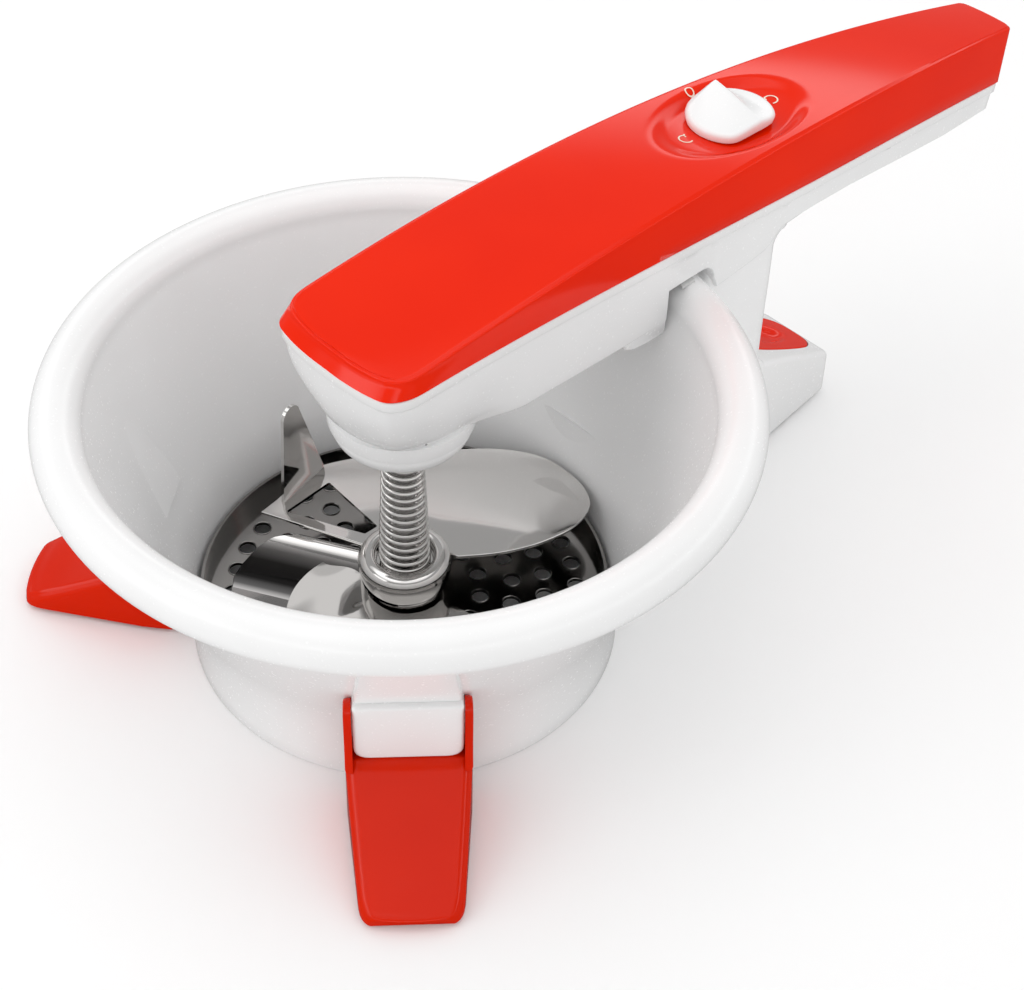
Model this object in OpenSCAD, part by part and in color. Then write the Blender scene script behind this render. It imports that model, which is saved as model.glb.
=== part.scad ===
// Electric food mill: a bowl on folding feet, a perforated disc with a sprung
// blade over it, and a motor handle that straddles the lip of the bowl.
// Origin: bowl axis at the table. +X runs along the handle, +Z is up. Millimetres.

/* [Bowl] */
// Outer radius of the rolled lip
rim_r = 120; // [110:0.5:130]
// Radius of the rolled lip's round section
lip_roll_r = 8.5; // [7:0.25:10]
// Height of the bowl from the table to the top of its lip
bowl_h = 110.5; // [104:0.5:116]
// Outer radius of the standing ring
base_r = 75.2; // [72:0.2:78]
// Wall thickness of the bowl
bowl_wall = 3; // [2.4:0.1:3.6]
// Height of the straight part of the standing ring
ring_h = 6; // [4:0.5:9]
// Radius of the sweep between the standing ring and the cone
sweep_r = 90; // [70:1:110]
// Height of the ledge that carries the disc
seat_z = 13; // [10:0.5:16]
// Width of the ledge under the disc
seat_w = 5.2; // [4:0.1:7]

/* [Feet] */
// Angle of the two folding feet from the handle
foot_angle = 130; // [115:1:140]
// How far a foot bracket stands out past the standing ring
bracket_out = 15.8; // [15:0.1:17]
// Width of the foot brackets
bracket_w = 35.4; // [30:0.2:38]
// Height of the bracket's lower edge
bracket_z0 = 29; // [27:0.5:31]
// Height of the bracket's upper edge
bracket_z1 = 53; // [52:0.5:55]
// Width of the bracket's rib where it meets the lip
rib_w = 26; // [18:0.5:30]
// Length of a foot past its bracket
foot_l = 46; // [40:0.5:52]
// Thickness of the fork's cheeks
cheek_t = 2.6; // [2:0.1:3.4]
// Width of a foot at its tip
foot_tip_w = 32.4; // [26:0.2:36]
// Height of a foot's top edge at its tip
foot_tip_z = 6.5; // [5.5:0.25:8]
// Thickness of the rubber pads that the feet stand on
pad_t = 1.6; // [1:0.1:2.4]
// Diameter of the foot hinge pins
pin_d = 3; // [2.6:0.1:3.2]
// How far a foot folds up
foot_fold = 95; // [60:1:95]

/* [Rear leg] */
// Length of the rear leg past the pillar
rear_l = 50.4; // [46:0.2:54]
// Width of the rear leg at the handle's pillar
rear_root_w = 47; // [42:0.5:50]
// Width of the rear leg at its end
rear_tip_w = 35; // [30:0.5:38]
// Height at which the handle's pillar stands on the rear leg
rear_seat_z = 46; // [42:0.5:50]
// Height of the rear leg at its end
rear_tip_z = 20; // [17:0.5:23]
// Length of the release button
button_l = 42; // [38:0.5:43]
// Width of the release button
button_w = 27; // [22:0.5:28]
// Travel of the release button
button_travel = 2.5; // [1.5:0.1:3]

/* [Disc] */
// Gap between the disc and the bowl's wall
disc_gap = 0.7; // [0.5:0.05:1]
// Sheet thickness of the disc
disc_t = 1; // [0.8:0.1:1.4]
// Height of the disc's upturned rim
disc_rim_h = 8; // [5:0.5:10]
// Hole diameter in the disc
hole_d = 6; // [4:0.2:7]
// Spacing of the holes
hole_pitch = 10.9; // [9:0.1:13]

/* [Blade] */
// How far the blade sheet reaches past the disc
blade_over = 1.5; // [0:0.1:1.8]
// Sheet thickness of the blade
blade_t = 1.2; // [1:0.1:1.6]
// Height of the blade sheet over the disc
blade_gap = 16; // [14:0.5:18]
// Height of the upright finger over the blade sheet
finger_h = 40; // [30:0.5:44]
// Width of the finger at its foot
finger_w = 23.8; // [20:0.2:26]
// How far the curved wing stays inside the disc's edge
wing_in = 10.5; // [8:0.5:14]
// Outer radius of the hub
hub_r = 16.5; // [15:0.25:18]
// Diameter of the blade shaft
shaft_d = 8; // [7:0.1:8.4]
// Coil spring's radius at its upper end, to the middle of the wire
spring_top_r = 6; // [5.6:0.1:6.6]
// Coil spring's radius at its lower end, to the middle of the wire
spring_low_r = 8.3; // [7:0.1:8.6]
// Wire diameter of the spring
wire_d = 1.8; // [1.4:0.1:2]
// Number of turns of the spring
spring_turns = 18; // [14:1:20]

/* [Handle] */
// Distance from the bowl axis to the front of the cover
nose_x = 31.5; // [29:0.5:34]
// Distance from the bowl axis to the end of the handle
tail_x = 301.5; // [280:0.5:320]
// Half the width of the cover at its lower front edge
front_half_w = 30.5; // [29:0.25:33]
// Half the width of the handle at its end
tail_half_w = 14; // [12:0.5:17]
// Height of the cover's crown over the lip
crown_up = 36.8; // [34:0.2:40]
// Distance from the bowl axis to the highest point of the crown
crown_x = 108; // [90:1:130]
// Radius of the crown along the handle
crown_r = 1020; // [900:10:1400]
// Height of the seam over the lip
seam_up = 22.5; // [21:0.25:24]
// Radius of the seam's curve along the handle
seam_r = 1660; // [1500:10:2600]
// Depth of the handle's belly below the lip's top
belly_drop = 11.5; // [10:0.25:12.5]
// Depth of the grip's end below the lip's top
grip_drop = 16; // [14:0.25:17]
// Wall thickness of the housing
shell_t = 2.4; // [2:0.1:3]
// Wall thickness of the cover
cover_t = 2.4; // [2:0.1:2.8]
// Radius of the nose where it meets its collar
nose_r = 24.5; // [23:0.25:26]
// Depth of the nose collar below the lip's top
collar_drop = 22.5; // [21:0.25:24]
// Free play between the lip and the inner jaw
jaw_gap = 2; // [1:0.25:4]
// Length of the inner jaw along the handle
jaw_l = 22; // [16:0.5:26]
// Depth of the inner jaw below the lip's top
jaw_drop = 15.5; // [14:0.25:17]
// Thickness of the outer pillar along the handle
pillar_l = 37; // [30:0.5:40]
// Width of the outer pillar
pillar_w = 48; // [42:0.5:52]

/* [Knob] */
// Distance from the bowl axis to the knob's axis
knob_x = 152; // [146:0.5:158]
// Radius of the knob
knob_r = 16; // [13:0.25:17]
// Height of the knob's round base
knob_base_h = 5; // [3:0.25:6]
// Height of the knob's grip above its base
knob_grip_h = 6.5; // [4:0.25:8]
// How far the knob turns each way from O
knob_turn = 90; // [45:1:90]
// Length of the dish round the knob
dish_l = 62; // [52:0.5:66]
// Width of the dish round the knob
dish_w = 36; // [35:0.5:38]
// Depth of that dish
dish_depth = 3.6; // [2.5:0.1:4.2]

/* [Drive] */
// Height of the motor's axis over the lip
motor_up = 7.5; // [7:0.1:8]
// Diameter of the motor's can
motor_d = 28; // [24:0.5:30]
// Gap between the motor and the slot over the lip
motor_gap = 3.2; // [2:0.1:6]
// Length of the gear head
head_l = 18; // [14:0.5:22]
// Distance from the bowl axis to the gear head's front face
head_x = 26; // [24:0.5:28]
// Diameter of the motor's output shaft
motor_shaft_d = 5; // [4:0.1:6]
// Teeth of the pinion
pinion_n = 16; // [14:1:18]
// Teeth of the face gear
face_n = 29; // [26:1:31]
// Tooth size of both gears, as pitch diameter over teeth
gear_module = 1; // [0.9:0.05:1.05]

/* [Small parts] */
// Diameter of the cover screws' shanks
screw_d = 3; // [2.5:0.1:3.5]
// Thickness of the rubber pad on the lip
lip_pad_t = 1.2; // [0.8:0.1:2]
// Outer diameter of the power inlet
inlet_d = 11; // [8:0.5:12]

/* [Hidden] */
$fn = 64;

white = "whitesmoke";
red = "orangered";
steel = "silver";
rubber = "dimgray";

crown_z = bowl_h + crown_up;
seam_z = bowl_h + seam_up;
belly_z = bowl_h - belly_drop;
grip_z = bowl_h - grip_drop;
collar_z = bowl_h - collar_drop;
jaw_z = bowl_h - jaw_drop;
motor_z = bowl_h + motor_up;
bracket_r = base_r + bracket_out;
foot_tip_r = bracket_r + foot_l;
disc_r = base_r - bowl_wall - disc_gap;
seat_r = base_r - bowl_wall - seat_w;
blade_r = disc_r + blade_over;
wing_r = disc_r - wing_in;

run = 0.3;          // gap between different bodies' curved faces
fit = 0.1;          // radial running fit of a shaft in its bore

lip_z = bowl_h - lip_roll_r;
lip_mid_r = rim_r - lip_roll_r;
lip_in_r = rim_r - 2 * lip_roll_r;

// Cone angle from upright: the inner wall leaves the sweep and meets the lip.
sweep_c = base_r + sweep_r;
sweep_dx = sweep_c - lip_in_r;
sweep_dz = lip_z - ring_h;
sweep_d = sqrt(sweep_dx * sweep_dx + sweep_dz * sweep_dz);
cone_a = atan2(sweep_dz, sweep_dx) - acos((sweep_r + bowl_wall) / sweep_d);
sweep_steps = 6;

// A wall line of the bowl, off mm inside the outer face, from the table to the lip.
function wall_arc(off) = [for (i = [0:sweep_steps])
    let (a = cone_a * i / sweep_steps)
    [sweep_c - (sweep_r + off) * cos(a), ring_h + (sweep_r + off) * sin(a)]];
function wall_r(off, z) = let (a = wall_arc(off)[sweep_steps]) a[0] + (z - a[1]) * tan(cone_a);

disc_z = seat_z;
plate_z = disc_z + disc_t + blade_gap;
hub_z = disc_z + disc_t + 1;
hub_top = plate_z + 2.6;
spring_z0 = plate_z - 1.5;

finger_a = 14;
finger_tip_x = 7.1;
finger_tip_r = 4.5;
wing_a = 120;
wing_end_a = 285;

pin_x = bracket_r - 3.2;
pin_z = bracket_z1 - 4;
cheek_r = 3.2;
foot_w = bracket_w + 2 * (cheek_t + run);
pocket_r = norm([bracket_r - pin_x, pin_z - bracket_z0]) + 0.4;
foot_heel_x = bracket_r - 11;

pillar_x0 = rim_r + 0.6;
pillar_x1 = pillar_x0 + pillar_l;
jaw_x1 = sqrt(lip_in_r * lip_in_r - front_half_w * front_half_w) - jaw_gap;
jaw_x0 = jaw_x1 - jaw_l;
slot_top = bowl_h + lip_pad_t;
rear_tip_x = pillar_x1 + rear_l;
motor_l = jaw_x1 - shell_t - motor_gap - head_x - head_l - 6;

seam_x = 30;
tail_low_x = tail_x - 7;
body_gap = 0.15;
collar_top = belly_z - 4;

function crown_at(x) = crown_z - (x - crown_x) * (x - crown_x) / (2 * crown_r);
function seam_at(x) = seam_z - (x - seam_x) * (x - seam_x) / (2 * seam_r);
function half_w_at(x) = let (s = max(0, (x - 10) / (tail_x - 10)))
    front_half_w - (front_half_w - tail_half_w) * s * s;
function belly_at(x) = let (s = max(0, (x - pillar_x1) / (tail_low_x - pillar_x1)))
    belly_z + (grip_z - belly_z) * s;

pinion_r = pinion_n * gear_module / 2;
face_r = face_n * gear_module / 2;
tooth_add = 0.8 * gear_module;
tooth_ded = 1.1 * gear_module;
pinion_w = 4;
face_gear_z = motor_z - pinion_r - 0.4;
face_gear_t = 3;

button_x1 = rear_tip_x - 2.5;
button_x0 = button_x1 - button_l;
slope_x0 = pillar_x1 + 1;
function slope_at(x) = rear_seat_z - 1 - (rear_seat_z - 1 - rear_tip_z)
    * (x - slope_x0) / (rear_tip_x - slope_x0);
button_t = 4;
well_deep = button_t + button_travel + 0.2;
leg_t = 2.6;
leg_z = pad_t;

dish_z = crown_at(knob_x) - dish_depth;
dish_r = (dish_l * dish_l / 4 + dish_depth * dish_depth) / (2 * dish_depth);
screw_places = [[27, -19], [27, 19], [196, 0], [240, 0]];
screw_head_d = screw_d * 1.9;

// ---- shared shapes ----

// Rectangle with round corners, centred.
module round_rect(l, w, r) {
    square([l - 2 * r, w], center = true);
    square([l, w - 2 * r], center = true);
    for (x = [-1, 1], y = [-1, 1])
        translate([x * (l / 2 - r), y * (w / 2 - r)]) circle(r);
}

// Turns a drawing of radius and height into a solid across the leg's width.
module across(w) rotate([90, 0, 0]) linear_extrude(w, center = true) children();

// Places a child at one of the two folding feet; side is 1 for left, -1 for right.
module at_foot(side) rotate([0, 0, side * foot_angle]) children();

// Plan of the handle, off mm inside its outer edge, up to x_end.
module handle_plan(off, x_end) {
    n = 12;
    bow = [[0, 0], [0.04, 0.3], [0.15, 0.57], [0.36, 0.79], [0.66, 0.93], [1, 1]];
    corner_l = nose_x - 18;
    front = [for (p = bow) [off - nose_x + p[0] * corner_l, p[1] * (front_half_w - off)]];
    side = [for (i = [1:n]) let (x = -18 + (x_end + 18) * i / n) [x, half_w_at(x) - off]];
    upper = concat(front, side);
    lower = [for (i = [len(upper) - 1:-1:1]) [upper[i][0], -upper[i][1]]];
    polygon(concat(upper, lower));
}

// ---- bowl ----

module bowl_outside() rotate_extrude($fn = 128)
    polygon(concat([[0, 0], [base_r, 0]], wall_arc(0),
        [[wall_r(0, lip_z), lip_z], [0, lip_z]]));

module bowl_inside() rotate_extrude($fn = 128)
    polygon(concat([[0, seat_z]], [[base_r - bowl_wall, seat_z]],
        [for (p = wall_arc(bowl_wall)) if (p[1] > seat_z) p],
        [[lip_in_r, lip_z], [lip_in_r, bowl_h + 5], [0, bowl_h + 5]]));

module lip() rotate_extrude($fn = 128) difference() {
    translate([lip_mid_r, lip_z]) circle(lip_roll_r);
    translate([lip_mid_r, lip_z]) circle(lip_roll_r - bowl_wall);
    translate([lip_mid_r - 2 * lip_roll_r, lip_z - 2 * lip_roll_r])
        square([2 * lip_roll_r, 2 * lip_roll_r]);
}

module bracket_block() {
    face_h = bracket_z1 - bracket_z0;
    translate([bracket_r - 20, 0, bracket_z0 + face_h / 2])
        rotate([90, 0, 90]) linear_extrude(20) union() {
            round_rect(bracket_w, face_h, 5);
            translate([-bracket_w / 2, 0]) square([bracket_w, face_h / 2]);
        }
    // rib that runs up the cone to the lip
    rib_l = (lip_z - 4 - bracket_z1) / cos(cone_a);
    translate([wall_r(0, bracket_z1 - 6), 0, bracket_z1 - 6]) rotate([0, cone_a, 0])
        translate([-2, 0, 0]) rotate([90, 0, 90]) linear_extrude(5)
            polygon([[-bracket_w / 2, 0], [bracket_w / 2, 0],
                [rib_w / 2, rib_l], [-rib_w / 2, rib_l]]);
}

module rear_leg_plan(off) {
    polygon([[60, -rear_root_w / 2 + off], [slope_x0, -rear_root_w / 2 + off],
        [rear_tip_x - 4, -rear_tip_w / 2 + off - 1], [rear_tip_x - off, -rear_tip_w / 2 + off + 4],
        [rear_tip_x - off, rear_tip_w / 2 - off - 4], [rear_tip_x - 4, rear_tip_w / 2 - off + 1],
        [slope_x0, rear_root_w / 2 - off], [60, rear_root_w / 2 - off]]);
}

module rear_leg() difference() {
    intersection() {
        linear_extrude(rear_seat_z + 10) rear_leg_plan(0);
        across(rear_root_w + 4) polygon([[60, leg_z], [rear_tip_x + 1, leg_z],
            [rear_tip_x + 1, rear_tip_z], [rear_tip_x, rear_tip_z],
            [slope_x0, slope_at(slope_x0)], [slope_x0, rear_seat_z], [60, rear_seat_z]]);
    }
    // hollow from below
    intersection() {
        linear_extrude(rear_seat_z + 10) rear_leg_plan(leg_t);
        across(rear_root_w) polygon([[60, leg_z - 1], [rear_tip_x - leg_t, leg_z - 1],
            [rear_tip_x - leg_t, rear_tip_z - 9],
            [slope_x0, slope_at(slope_x0) - 9], [slope_x0, rear_seat_z - leg_t],
            [60, rear_seat_z - leg_t]]);
    }
    // pocket for the release button
    intersection() {
        translate([(button_x0 + button_x1) / 2, 0, 0]) linear_extrude(rear_seat_z + 10)
            round_rect(button_l + 2 * run, button_w + 2 * run, 6);
        across(rear_root_w) polygon([[slope_x0 - 4, slope_at(slope_x0 - 4) - well_deep],
            [rear_tip_x, slope_at(rear_tip_x) - well_deep],
            [rear_tip_x, rear_seat_z + 12], [slope_x0 - 4, rear_seat_z + 12]]);
    }
}

module bowl() color(white) difference() {
    union() {
        bowl_outside();
        lip();
        for (s = [-1, 1]) at_foot(s) bracket_block();
        rear_leg();
    }
    bowl_inside();
    translate([0, 0, -1]) cylinder(r = seat_r, h = seat_z + 2, $fn = 128);
    translate([0, 0, -1]) cylinder(r = base_r - bowl_wall, h = seat_z - 2.6 + 1, $fn = 128);
    for (s = [-1, 1]) at_foot(s)
        translate([pin_x, 0, pin_z]) rotate([90, 0, 0])
            cylinder(d = pin_d + 2 * 0.05, h = foot_w + 10, center = true);
}

// ---- folding feet ----

module foot_outline(off) {
    polygon([[foot_heel_x + off, pad_t], [foot_tip_r - 1 - off, pad_t],
        [foot_tip_r - off, pad_t + 1.4], [foot_tip_r - 2.5 - off, foot_tip_z - off],
        [bracket_r - off * 0.5, bracket_z0 - off], [foot_heel_x + off, bracket_z0 - off]]);
}

module foot_cheek() {
    translate([pin_x, pin_z]) circle(cheek_r);
    polygon([[pin_x - cheek_r, pin_z], [foot_heel_x + 3, bracket_z0 - 4],
        [bracket_r, bracket_z0 - 1], [bracket_r, pin_z]]);
}

module foot_plan(off) polygon([
    [foot_heel_x - 1, -foot_w / 2 + off], [bracket_r, -foot_w / 2 + off],
    [foot_tip_r - 5, -foot_tip_w / 2 + off - 0.5], [foot_tip_r, -foot_tip_w / 2 + off + 4.5],
    [foot_tip_r, foot_tip_w / 2 - off - 4.5], [foot_tip_r - 5, foot_tip_w / 2 - off + 0.5],
    [bracket_r, foot_w / 2 - off], [foot_heel_x - 1, foot_w / 2 - off]]);

module foot(side) color(red) at_foot(side) difference() {
    intersection() {
        across(foot_w + 2) {
            foot_outline(0);
            foot_cheek();
        }
        linear_extrude(bracket_z1 + 10) foot_plan(0);
    }
    // pocket that clears the bracket as the foot folds
    translate([pin_x, 0, pin_z]) rotate([90, 0, 0])
        cylinder(r = pocket_r, h = bracket_w + 2 * run, center = true);
    translate([pin_x, 0, pin_z]) rotate([90, 0, 0])
        cylinder(d = pin_d + 2 * fit, h = foot_w + 4, center = true);
    // hollow from below
    hollow_t = 2.4;
    intersection() {
        translate([0, 0, -1]) across(foot_w)
            polygon([[foot_heel_x + hollow_t, 0], [foot_tip_r - 22, 0],
                [foot_tip_r - 22, foot_tip_z], [bracket_r, bracket_z0 - 4.5 * hollow_t],
                [foot_heel_x + hollow_t, bracket_z0 - 4.5 * hollow_t]]);
        linear_extrude(bracket_z0) foot_plan(hollow_t);
    }
}

module foot_pins() color(steel)
    for (s = [-1, 1]) at_foot(s) translate([pin_x, 0, pin_z]) rotate([90, 0, 0])
        cylinder(d = pin_d, h = foot_w - 0.4, center = true);

module foot_pad(side) color(rubber) at_foot(side)
    translate([foot_tip_r - 12, 0, 0]) linear_extrude(pad_t) round_rect(14, foot_tip_w - 8, 3);

// ---- rear leg parts ----

module rear_pad() color(rubber) linear_extrude(leg_z) difference() {
    intersection() {
        rear_leg_plan(0.4);
        translate([rear_tip_x - 16, -rear_root_w / 2]) square([20, rear_root_w]);
    }
    translate([0, -rear_root_w]) square([rear_tip_x - 16, 2 * rear_root_w]);
}

slope_a = atan2(slope_at(button_x0) - slope_at(button_x1), button_l);
spring_h = 5;
spring_x = (button_x0 + button_x1) / 2 - 4;
spring_floor = slope_at(spring_x) - well_deep;

module release_button() color(red) {
    mid_x = (button_x0 + button_x1) / 2;
    difference() {
        intersection() {
            translate([mid_x, 0, 0]) linear_extrude(rear_seat_z + 10)
                round_rect(button_l, button_w, 6);
            across(button_w + 2) polygon([
                [button_x0 - 1, slope_at(button_x0 - 1) - button_t],
                [button_x1 + 1, slope_at(button_x1 + 1) - button_t],
                [button_x1 + 1, slope_at(button_x1 + 1)], [button_x0 - 1, slope_at(button_x0 - 1)]]);
        }
        // finger hollow
        translate([mid_x + 5, 0, slope_at(mid_x + 5)]) rotate([0, slope_a, 0])
            translate([-6, 0, 6]) {
                rotate([0, 90, 0]) cylinder(r = 8.4, h = 12);
                sphere(8.4);
                translate([12, 0, 0]) sphere(8.4);
            }
    }
}

module coil(z0, z1, r0, r1, wire, turns, sides, steps) {
    n = ceil(turns * steps);
    function at(i) = let (t = i / n, a = 360 * turns * t) [r0 + (r1 - r0) * t, a, z0 + (z1 - z0) * t];
    pts = [for (i = [0:n], k = [0:sides - 1]) let (c = at(i), b = 360 * k / sides,
        r = c[0] + wire / 2 * cos(b)) [r * cos(c[1]), r * sin(c[1]), c[2] + wire / 2 * sin(b)]];
    walls = [for (i = [0:n - 1], k = [0:sides - 1]) let (a = i * sides + k,
        b = i * sides + (k + 1) % sides) [a, b, b + sides, a + sides]];
    caps = [[for (k = [sides - 1:-1:0]) k], [for (k = [0:sides - 1]) n * sides + k]];
    polyhedron(pts, concat(walls, caps), convexity = 10);
}

module latch_spring() color(steel) translate([spring_x, 0, spring_floor]) rotate([0, slope_a, 0])
    coil(0.55, (well_deep - button_t) * cos(slope_a) - 0.55, 3, 3, 0.8, 1.5, 6, 12);

// ---- disc ----

module disc() color(steel) difference() {
    union() {
        translate([0, 0, disc_z]) cylinder(r = disc_r, h = disc_t, $fn = 128);
        rotate_extrude($fn = 128)
            translate([disc_r - disc_t, disc_z]) square([disc_t, disc_rim_h]);
    }
    translate([0, 0, disc_z - 1]) cylinder(d = 8, h = 4);
    for (ring = [2:5]) {
        r = ring * hole_pitch * 1.04 + 4;
        n = floor(2 * 3.14159 * r / hole_pitch);
        for (i = [0:n - 1]) rotate([0, 0, 360 * i / n + 11 * ring])
            translate([r, 0, disc_z - 1]) cylinder(d = hole_d, h = 4, $fn = 24);
    }
}

module disc_stud() color(steel) rotate_extrude() polygon([[0, disc_z - 1.5], [7, disc_z - 1.5],
    [7, disc_z], [4, disc_z], [4, disc_z + disc_t + 0.5], [2.6, disc_z + disc_t + 0.5],
    [2.6, disc_z + 10], [0, disc_z + 11]]);

// ---- blade assembly ----

module blade_plan() difference() {
    intersection() {
        circle(blade_r, $fn = 128);
        scale(blade_r / 73) polygon([[-6, 0], [13, -14], [26, -22.5], [39, -27.3], [51, -29.3], [60, -28.5], [68, -24],
            [74, -16], [76, -6], [76, 4], [70, 14], [60, 23], [41, 36.5], [30, 44.5], [20, 50.5],
            [8, 56], [-8, 54], [-16, 51.5], [-24.7, 50.6], [-7.5, 12]]);
    }
    scale(blade_r / 73) polygon([[-17.5, 44.2], [3.7, 46], [1.9, 16.8], [-3.9, 16.8]]);
}

module blade() color(steel) difference() {
    translate([0, 0, plate_z]) linear_extrude(blade_t) blade_plan();
    translate([0, 0, plate_z - 1]) cylinder(r = hub_r - 2, h = blade_t + 2);
}

// The wing rolls over beside the arm, dips to the disc and passes in front of the hub.
// Its section is drawn across the rolled edge, from the hub's middle line outwards.
wing_z = disc_z + disc_t + 1;
wing_out = [[-1.6, 11.2], [-0.4, 13.4], [2, 14.4], [4.6, 13.9], [7, 11.8], [10, 7.6], [13, 4.2], [17, 2],
    [20, 1.1], [23, 1.1], [23, 0.1], [20, 0.1], [16.4, 0.9], [12.2, 3.3], [9, 6.8], [6, 11],
    [4.2, 12.7], [2, 13.2], [0.5, 12.7], [-0.5, 10.8]];
wing_low_y = 18;

module blade_wing() color(steel) difference() {
    intersection() {
        union() {
            rotate([0, 0, wing_a]) translate([8, 0, wing_z]) rotate([90, 0, 90])
                linear_extrude(wing_r) polygon(wing_out);
            rotate([0, 0, wing_a]) translate([0, 0, wing_z]) linear_extrude(blade_t)
                polygon([[-2, 0], [-2, wing_low_y], [100, wing_low_y], [100, 100], [-100, 100],
                    [-100, 100 * tan(180 - wing_end_a + wing_a)]]);
        }
        cylinder(r = wing_r, h = plate_z, $fn = 128);
        // the rolled edge stops short, and the outer corner is swept back
        rotate([0, 0, wing_a]) linear_extrude(plate_z) scale(wing_r / 61) polygon([
            [-100, -8], [38, -8], [40.5, 1], [47.8, 4], [53.4, 8], [55.6, 14], [57.5, 20], [61, 26],
            [100, 100], [-100, 100]]);
    }
    translate([0, 0, wing_z + blade_t]) cylinder(r = hub_r + 0.05, h = 40);
    translate([0, 0, wing_z - 1]) cylinder(d = shaft_d, h = 4);
}

// Upright finger, drawn from its left foot along its own plane.
module scraper_finger() color(steel)
    translate([-15.4, 48.6, 0] * blade_r / 73) translate([0, 0, plate_z + blade_t]) rotate([90, 0, finger_a])
        linear_extrude(blade_t, center = true) {
            polygon([[0, 0], [finger_w, 0], [finger_tip_x + finger_tip_r * 0.92, finger_h - finger_tip_r * 0.6],
                [finger_tip_x - finger_tip_r, finger_h - finger_tip_r]]);
            translate([finger_tip_x, finger_h - finger_tip_r]) circle(finger_tip_r);
        }

module blade_hub() color(steel) rotate_extrude() polygon([
    [shaft_d / 2, wing_z + blade_t], [hub_r - 3.5, wing_z + blade_t], [hub_r - 1, plate_z - 7],
    [hub_r, plate_z - 1], [hub_r - 0.4, plate_z], [hub_r - 2, plate_z], [hub_r - 2, plate_z + blade_t],
    [hub_r - 3, hub_top - 0.5], [11.4, hub_top - 0.1], [10.4, hub_top],
    [spring_low_r + wire_d / 2 + 0.3, hub_top - 0.2], [spring_low_r + wire_d / 2 + 0.3, spring_z0],
    [shaft_d / 2, spring_z0]]);

shaft_top = collar_z + 3;
module blade_shaft() color(steel) difference() {
    union() {
        translate([0, 0, hub_z]) cylinder(d = shaft_d - 0.04, h = shaft_top - hub_z);
        translate([0, 0, shaft_top]) cylinder(d = 7, h = 16, $fn = 6);
    }
    translate([0, 0, hub_z - 1]) cylinder(r = 2.6 + fit, h = 12);
}

module spring() color(steel)
    coil(spring_z0 + wire_d / 2 + 0.1, collar_z - wire_d / 2 - 0.2, spring_low_r, spring_top_r,
        wire_d, spring_turns, 8, 14);

module spring_seat() color(steel) translate([0, 0, collar_z]) difference() {
    cylinder(r = spring_top_r + wire_d / 2 + 0.6, h = 1.2);
    translate([0, 0, -1]) cylinder(d = shaft_d, h = 4);
}

socket_r = 5.4;
bridge_z = motor_z + 3;
module drive_socket() color(steel) difference() {
    translate([0, 0, shaft_top]) cylinder(r = socket_r, h = bridge_z + 5 - shaft_top);
    translate([0, 0, shaft_top - 1]) cylinder(d = 7.2, h = 18, $fn = 6);
    // groove of the clip
    translate([0, 0, bridge_z + 3.4]) difference() {
        cylinder(r = socket_r + 1, h = 1);
        translate([0, 0, -1]) cylinder(r = socket_r - 0.7, h = 3);
    }
}

module face_gear() color("gold") {
    tooth_in = face_r - 2.4;
    tooth_out = face_r + 2.6;
    half_a = 360 * 0.19 / face_n;
    difference() {
        translate([0, 0, face_gear_z - face_gear_t - tooth_ded])
            cylinder(r = tooth_out, h = face_gear_t);
        translate([0, 0, face_gear_z - 20]) cylinder(r = socket_r, h = 40);
    }
    translate([0, 0, face_gear_z - tooth_ded]) linear_extrude(tooth_ded + 0.4)
        for (i = [0:face_n - 1]) rotate(360 * (i + 0.5) / face_n) polygon([
            [tooth_in * cos(half_a), tooth_in * sin(half_a)],
            [tooth_in * cos(half_a), -tooth_in * sin(half_a)],
            [tooth_out * cos(half_a) - 0.2, -tooth_out * sin(half_a)],
            [tooth_out * cos(half_a) - 0.2, tooth_out * sin(half_a)]]);
}

module shaft_clip() color(steel) translate([0, 0, bridge_z + 3.5]) difference() {
    cylinder(r = socket_r + 1.8, h = 0.8);
    translate([0, 0, -1]) cylinder(r = socket_r - 0.7, h = 3);
    translate([0, -1.5, -1]) cube([10, 3, 3]);
}

module bush(z, h) translate([0, 0, z]) difference() {
    cylinder(r = socket_r + 2, h = h);
    translate([0, 0, -1]) cylinder(r = socket_r + 0.05, h = h + 2);
}
module lower_bush() color("peru") bush(shaft_top, collar_top - shaft_top + 1);
module upper_bush() color("peru") bush(bridge_z, 3);

module bush_bridge() color(steel) {
    half_y = 21;
    floor_z = belly_z + shell_t;
    difference() {
        translate([-9, -half_y, bridge_z]) cube([18, 2 * half_y, 2.4]);
        translate([0, 0, bridge_z - 1]) cylinder(r = socket_r + 2, h = 5);
    }
    for (s = [-1, 1])
        translate([-9, s * half_y - 1.2, floor_z]) cube([18, 2.4, bridge_z - floor_z + 2.4]);
}

// ---- handle ----

module housing_side(off, z_off) {
    n = 24;
    x0 = -nose_x + off;
    x1 = tail_low_x - off;
    top = [for (i = [0:n]) let (x = x0 + (x1 - x0) * i / n) [x, seam_at(x) - z_off]];
    low = [for (x = [x1 - 6, pillar_x1 + 8]) [x, belly_at(x) + off]];
    polygon(concat(top, [[x1 - 1, belly_at(x1) + off + 6]], low,
        [[x0 + 8, belly_z + off], [x0, seam_at(x0) - 6]]));
}

module nose_blend(off) {
    hull() {
        translate([0, 0, seam_at(0) - 8]) linear_extrude(1)
            intersection() {
                handle_plan(off, 60);
                translate([-60, -60]) square([84, 120]);
            }
        translate([0, 0, belly_z + 4 + off]) cylinder(r = nose_r + 2.5 - off, h = 1, $fn = 32);
    }
    translate([0, 0, collar_top]) cylinder(r = nose_r - off, h = belly_z - collar_top + 6);
}

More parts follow.
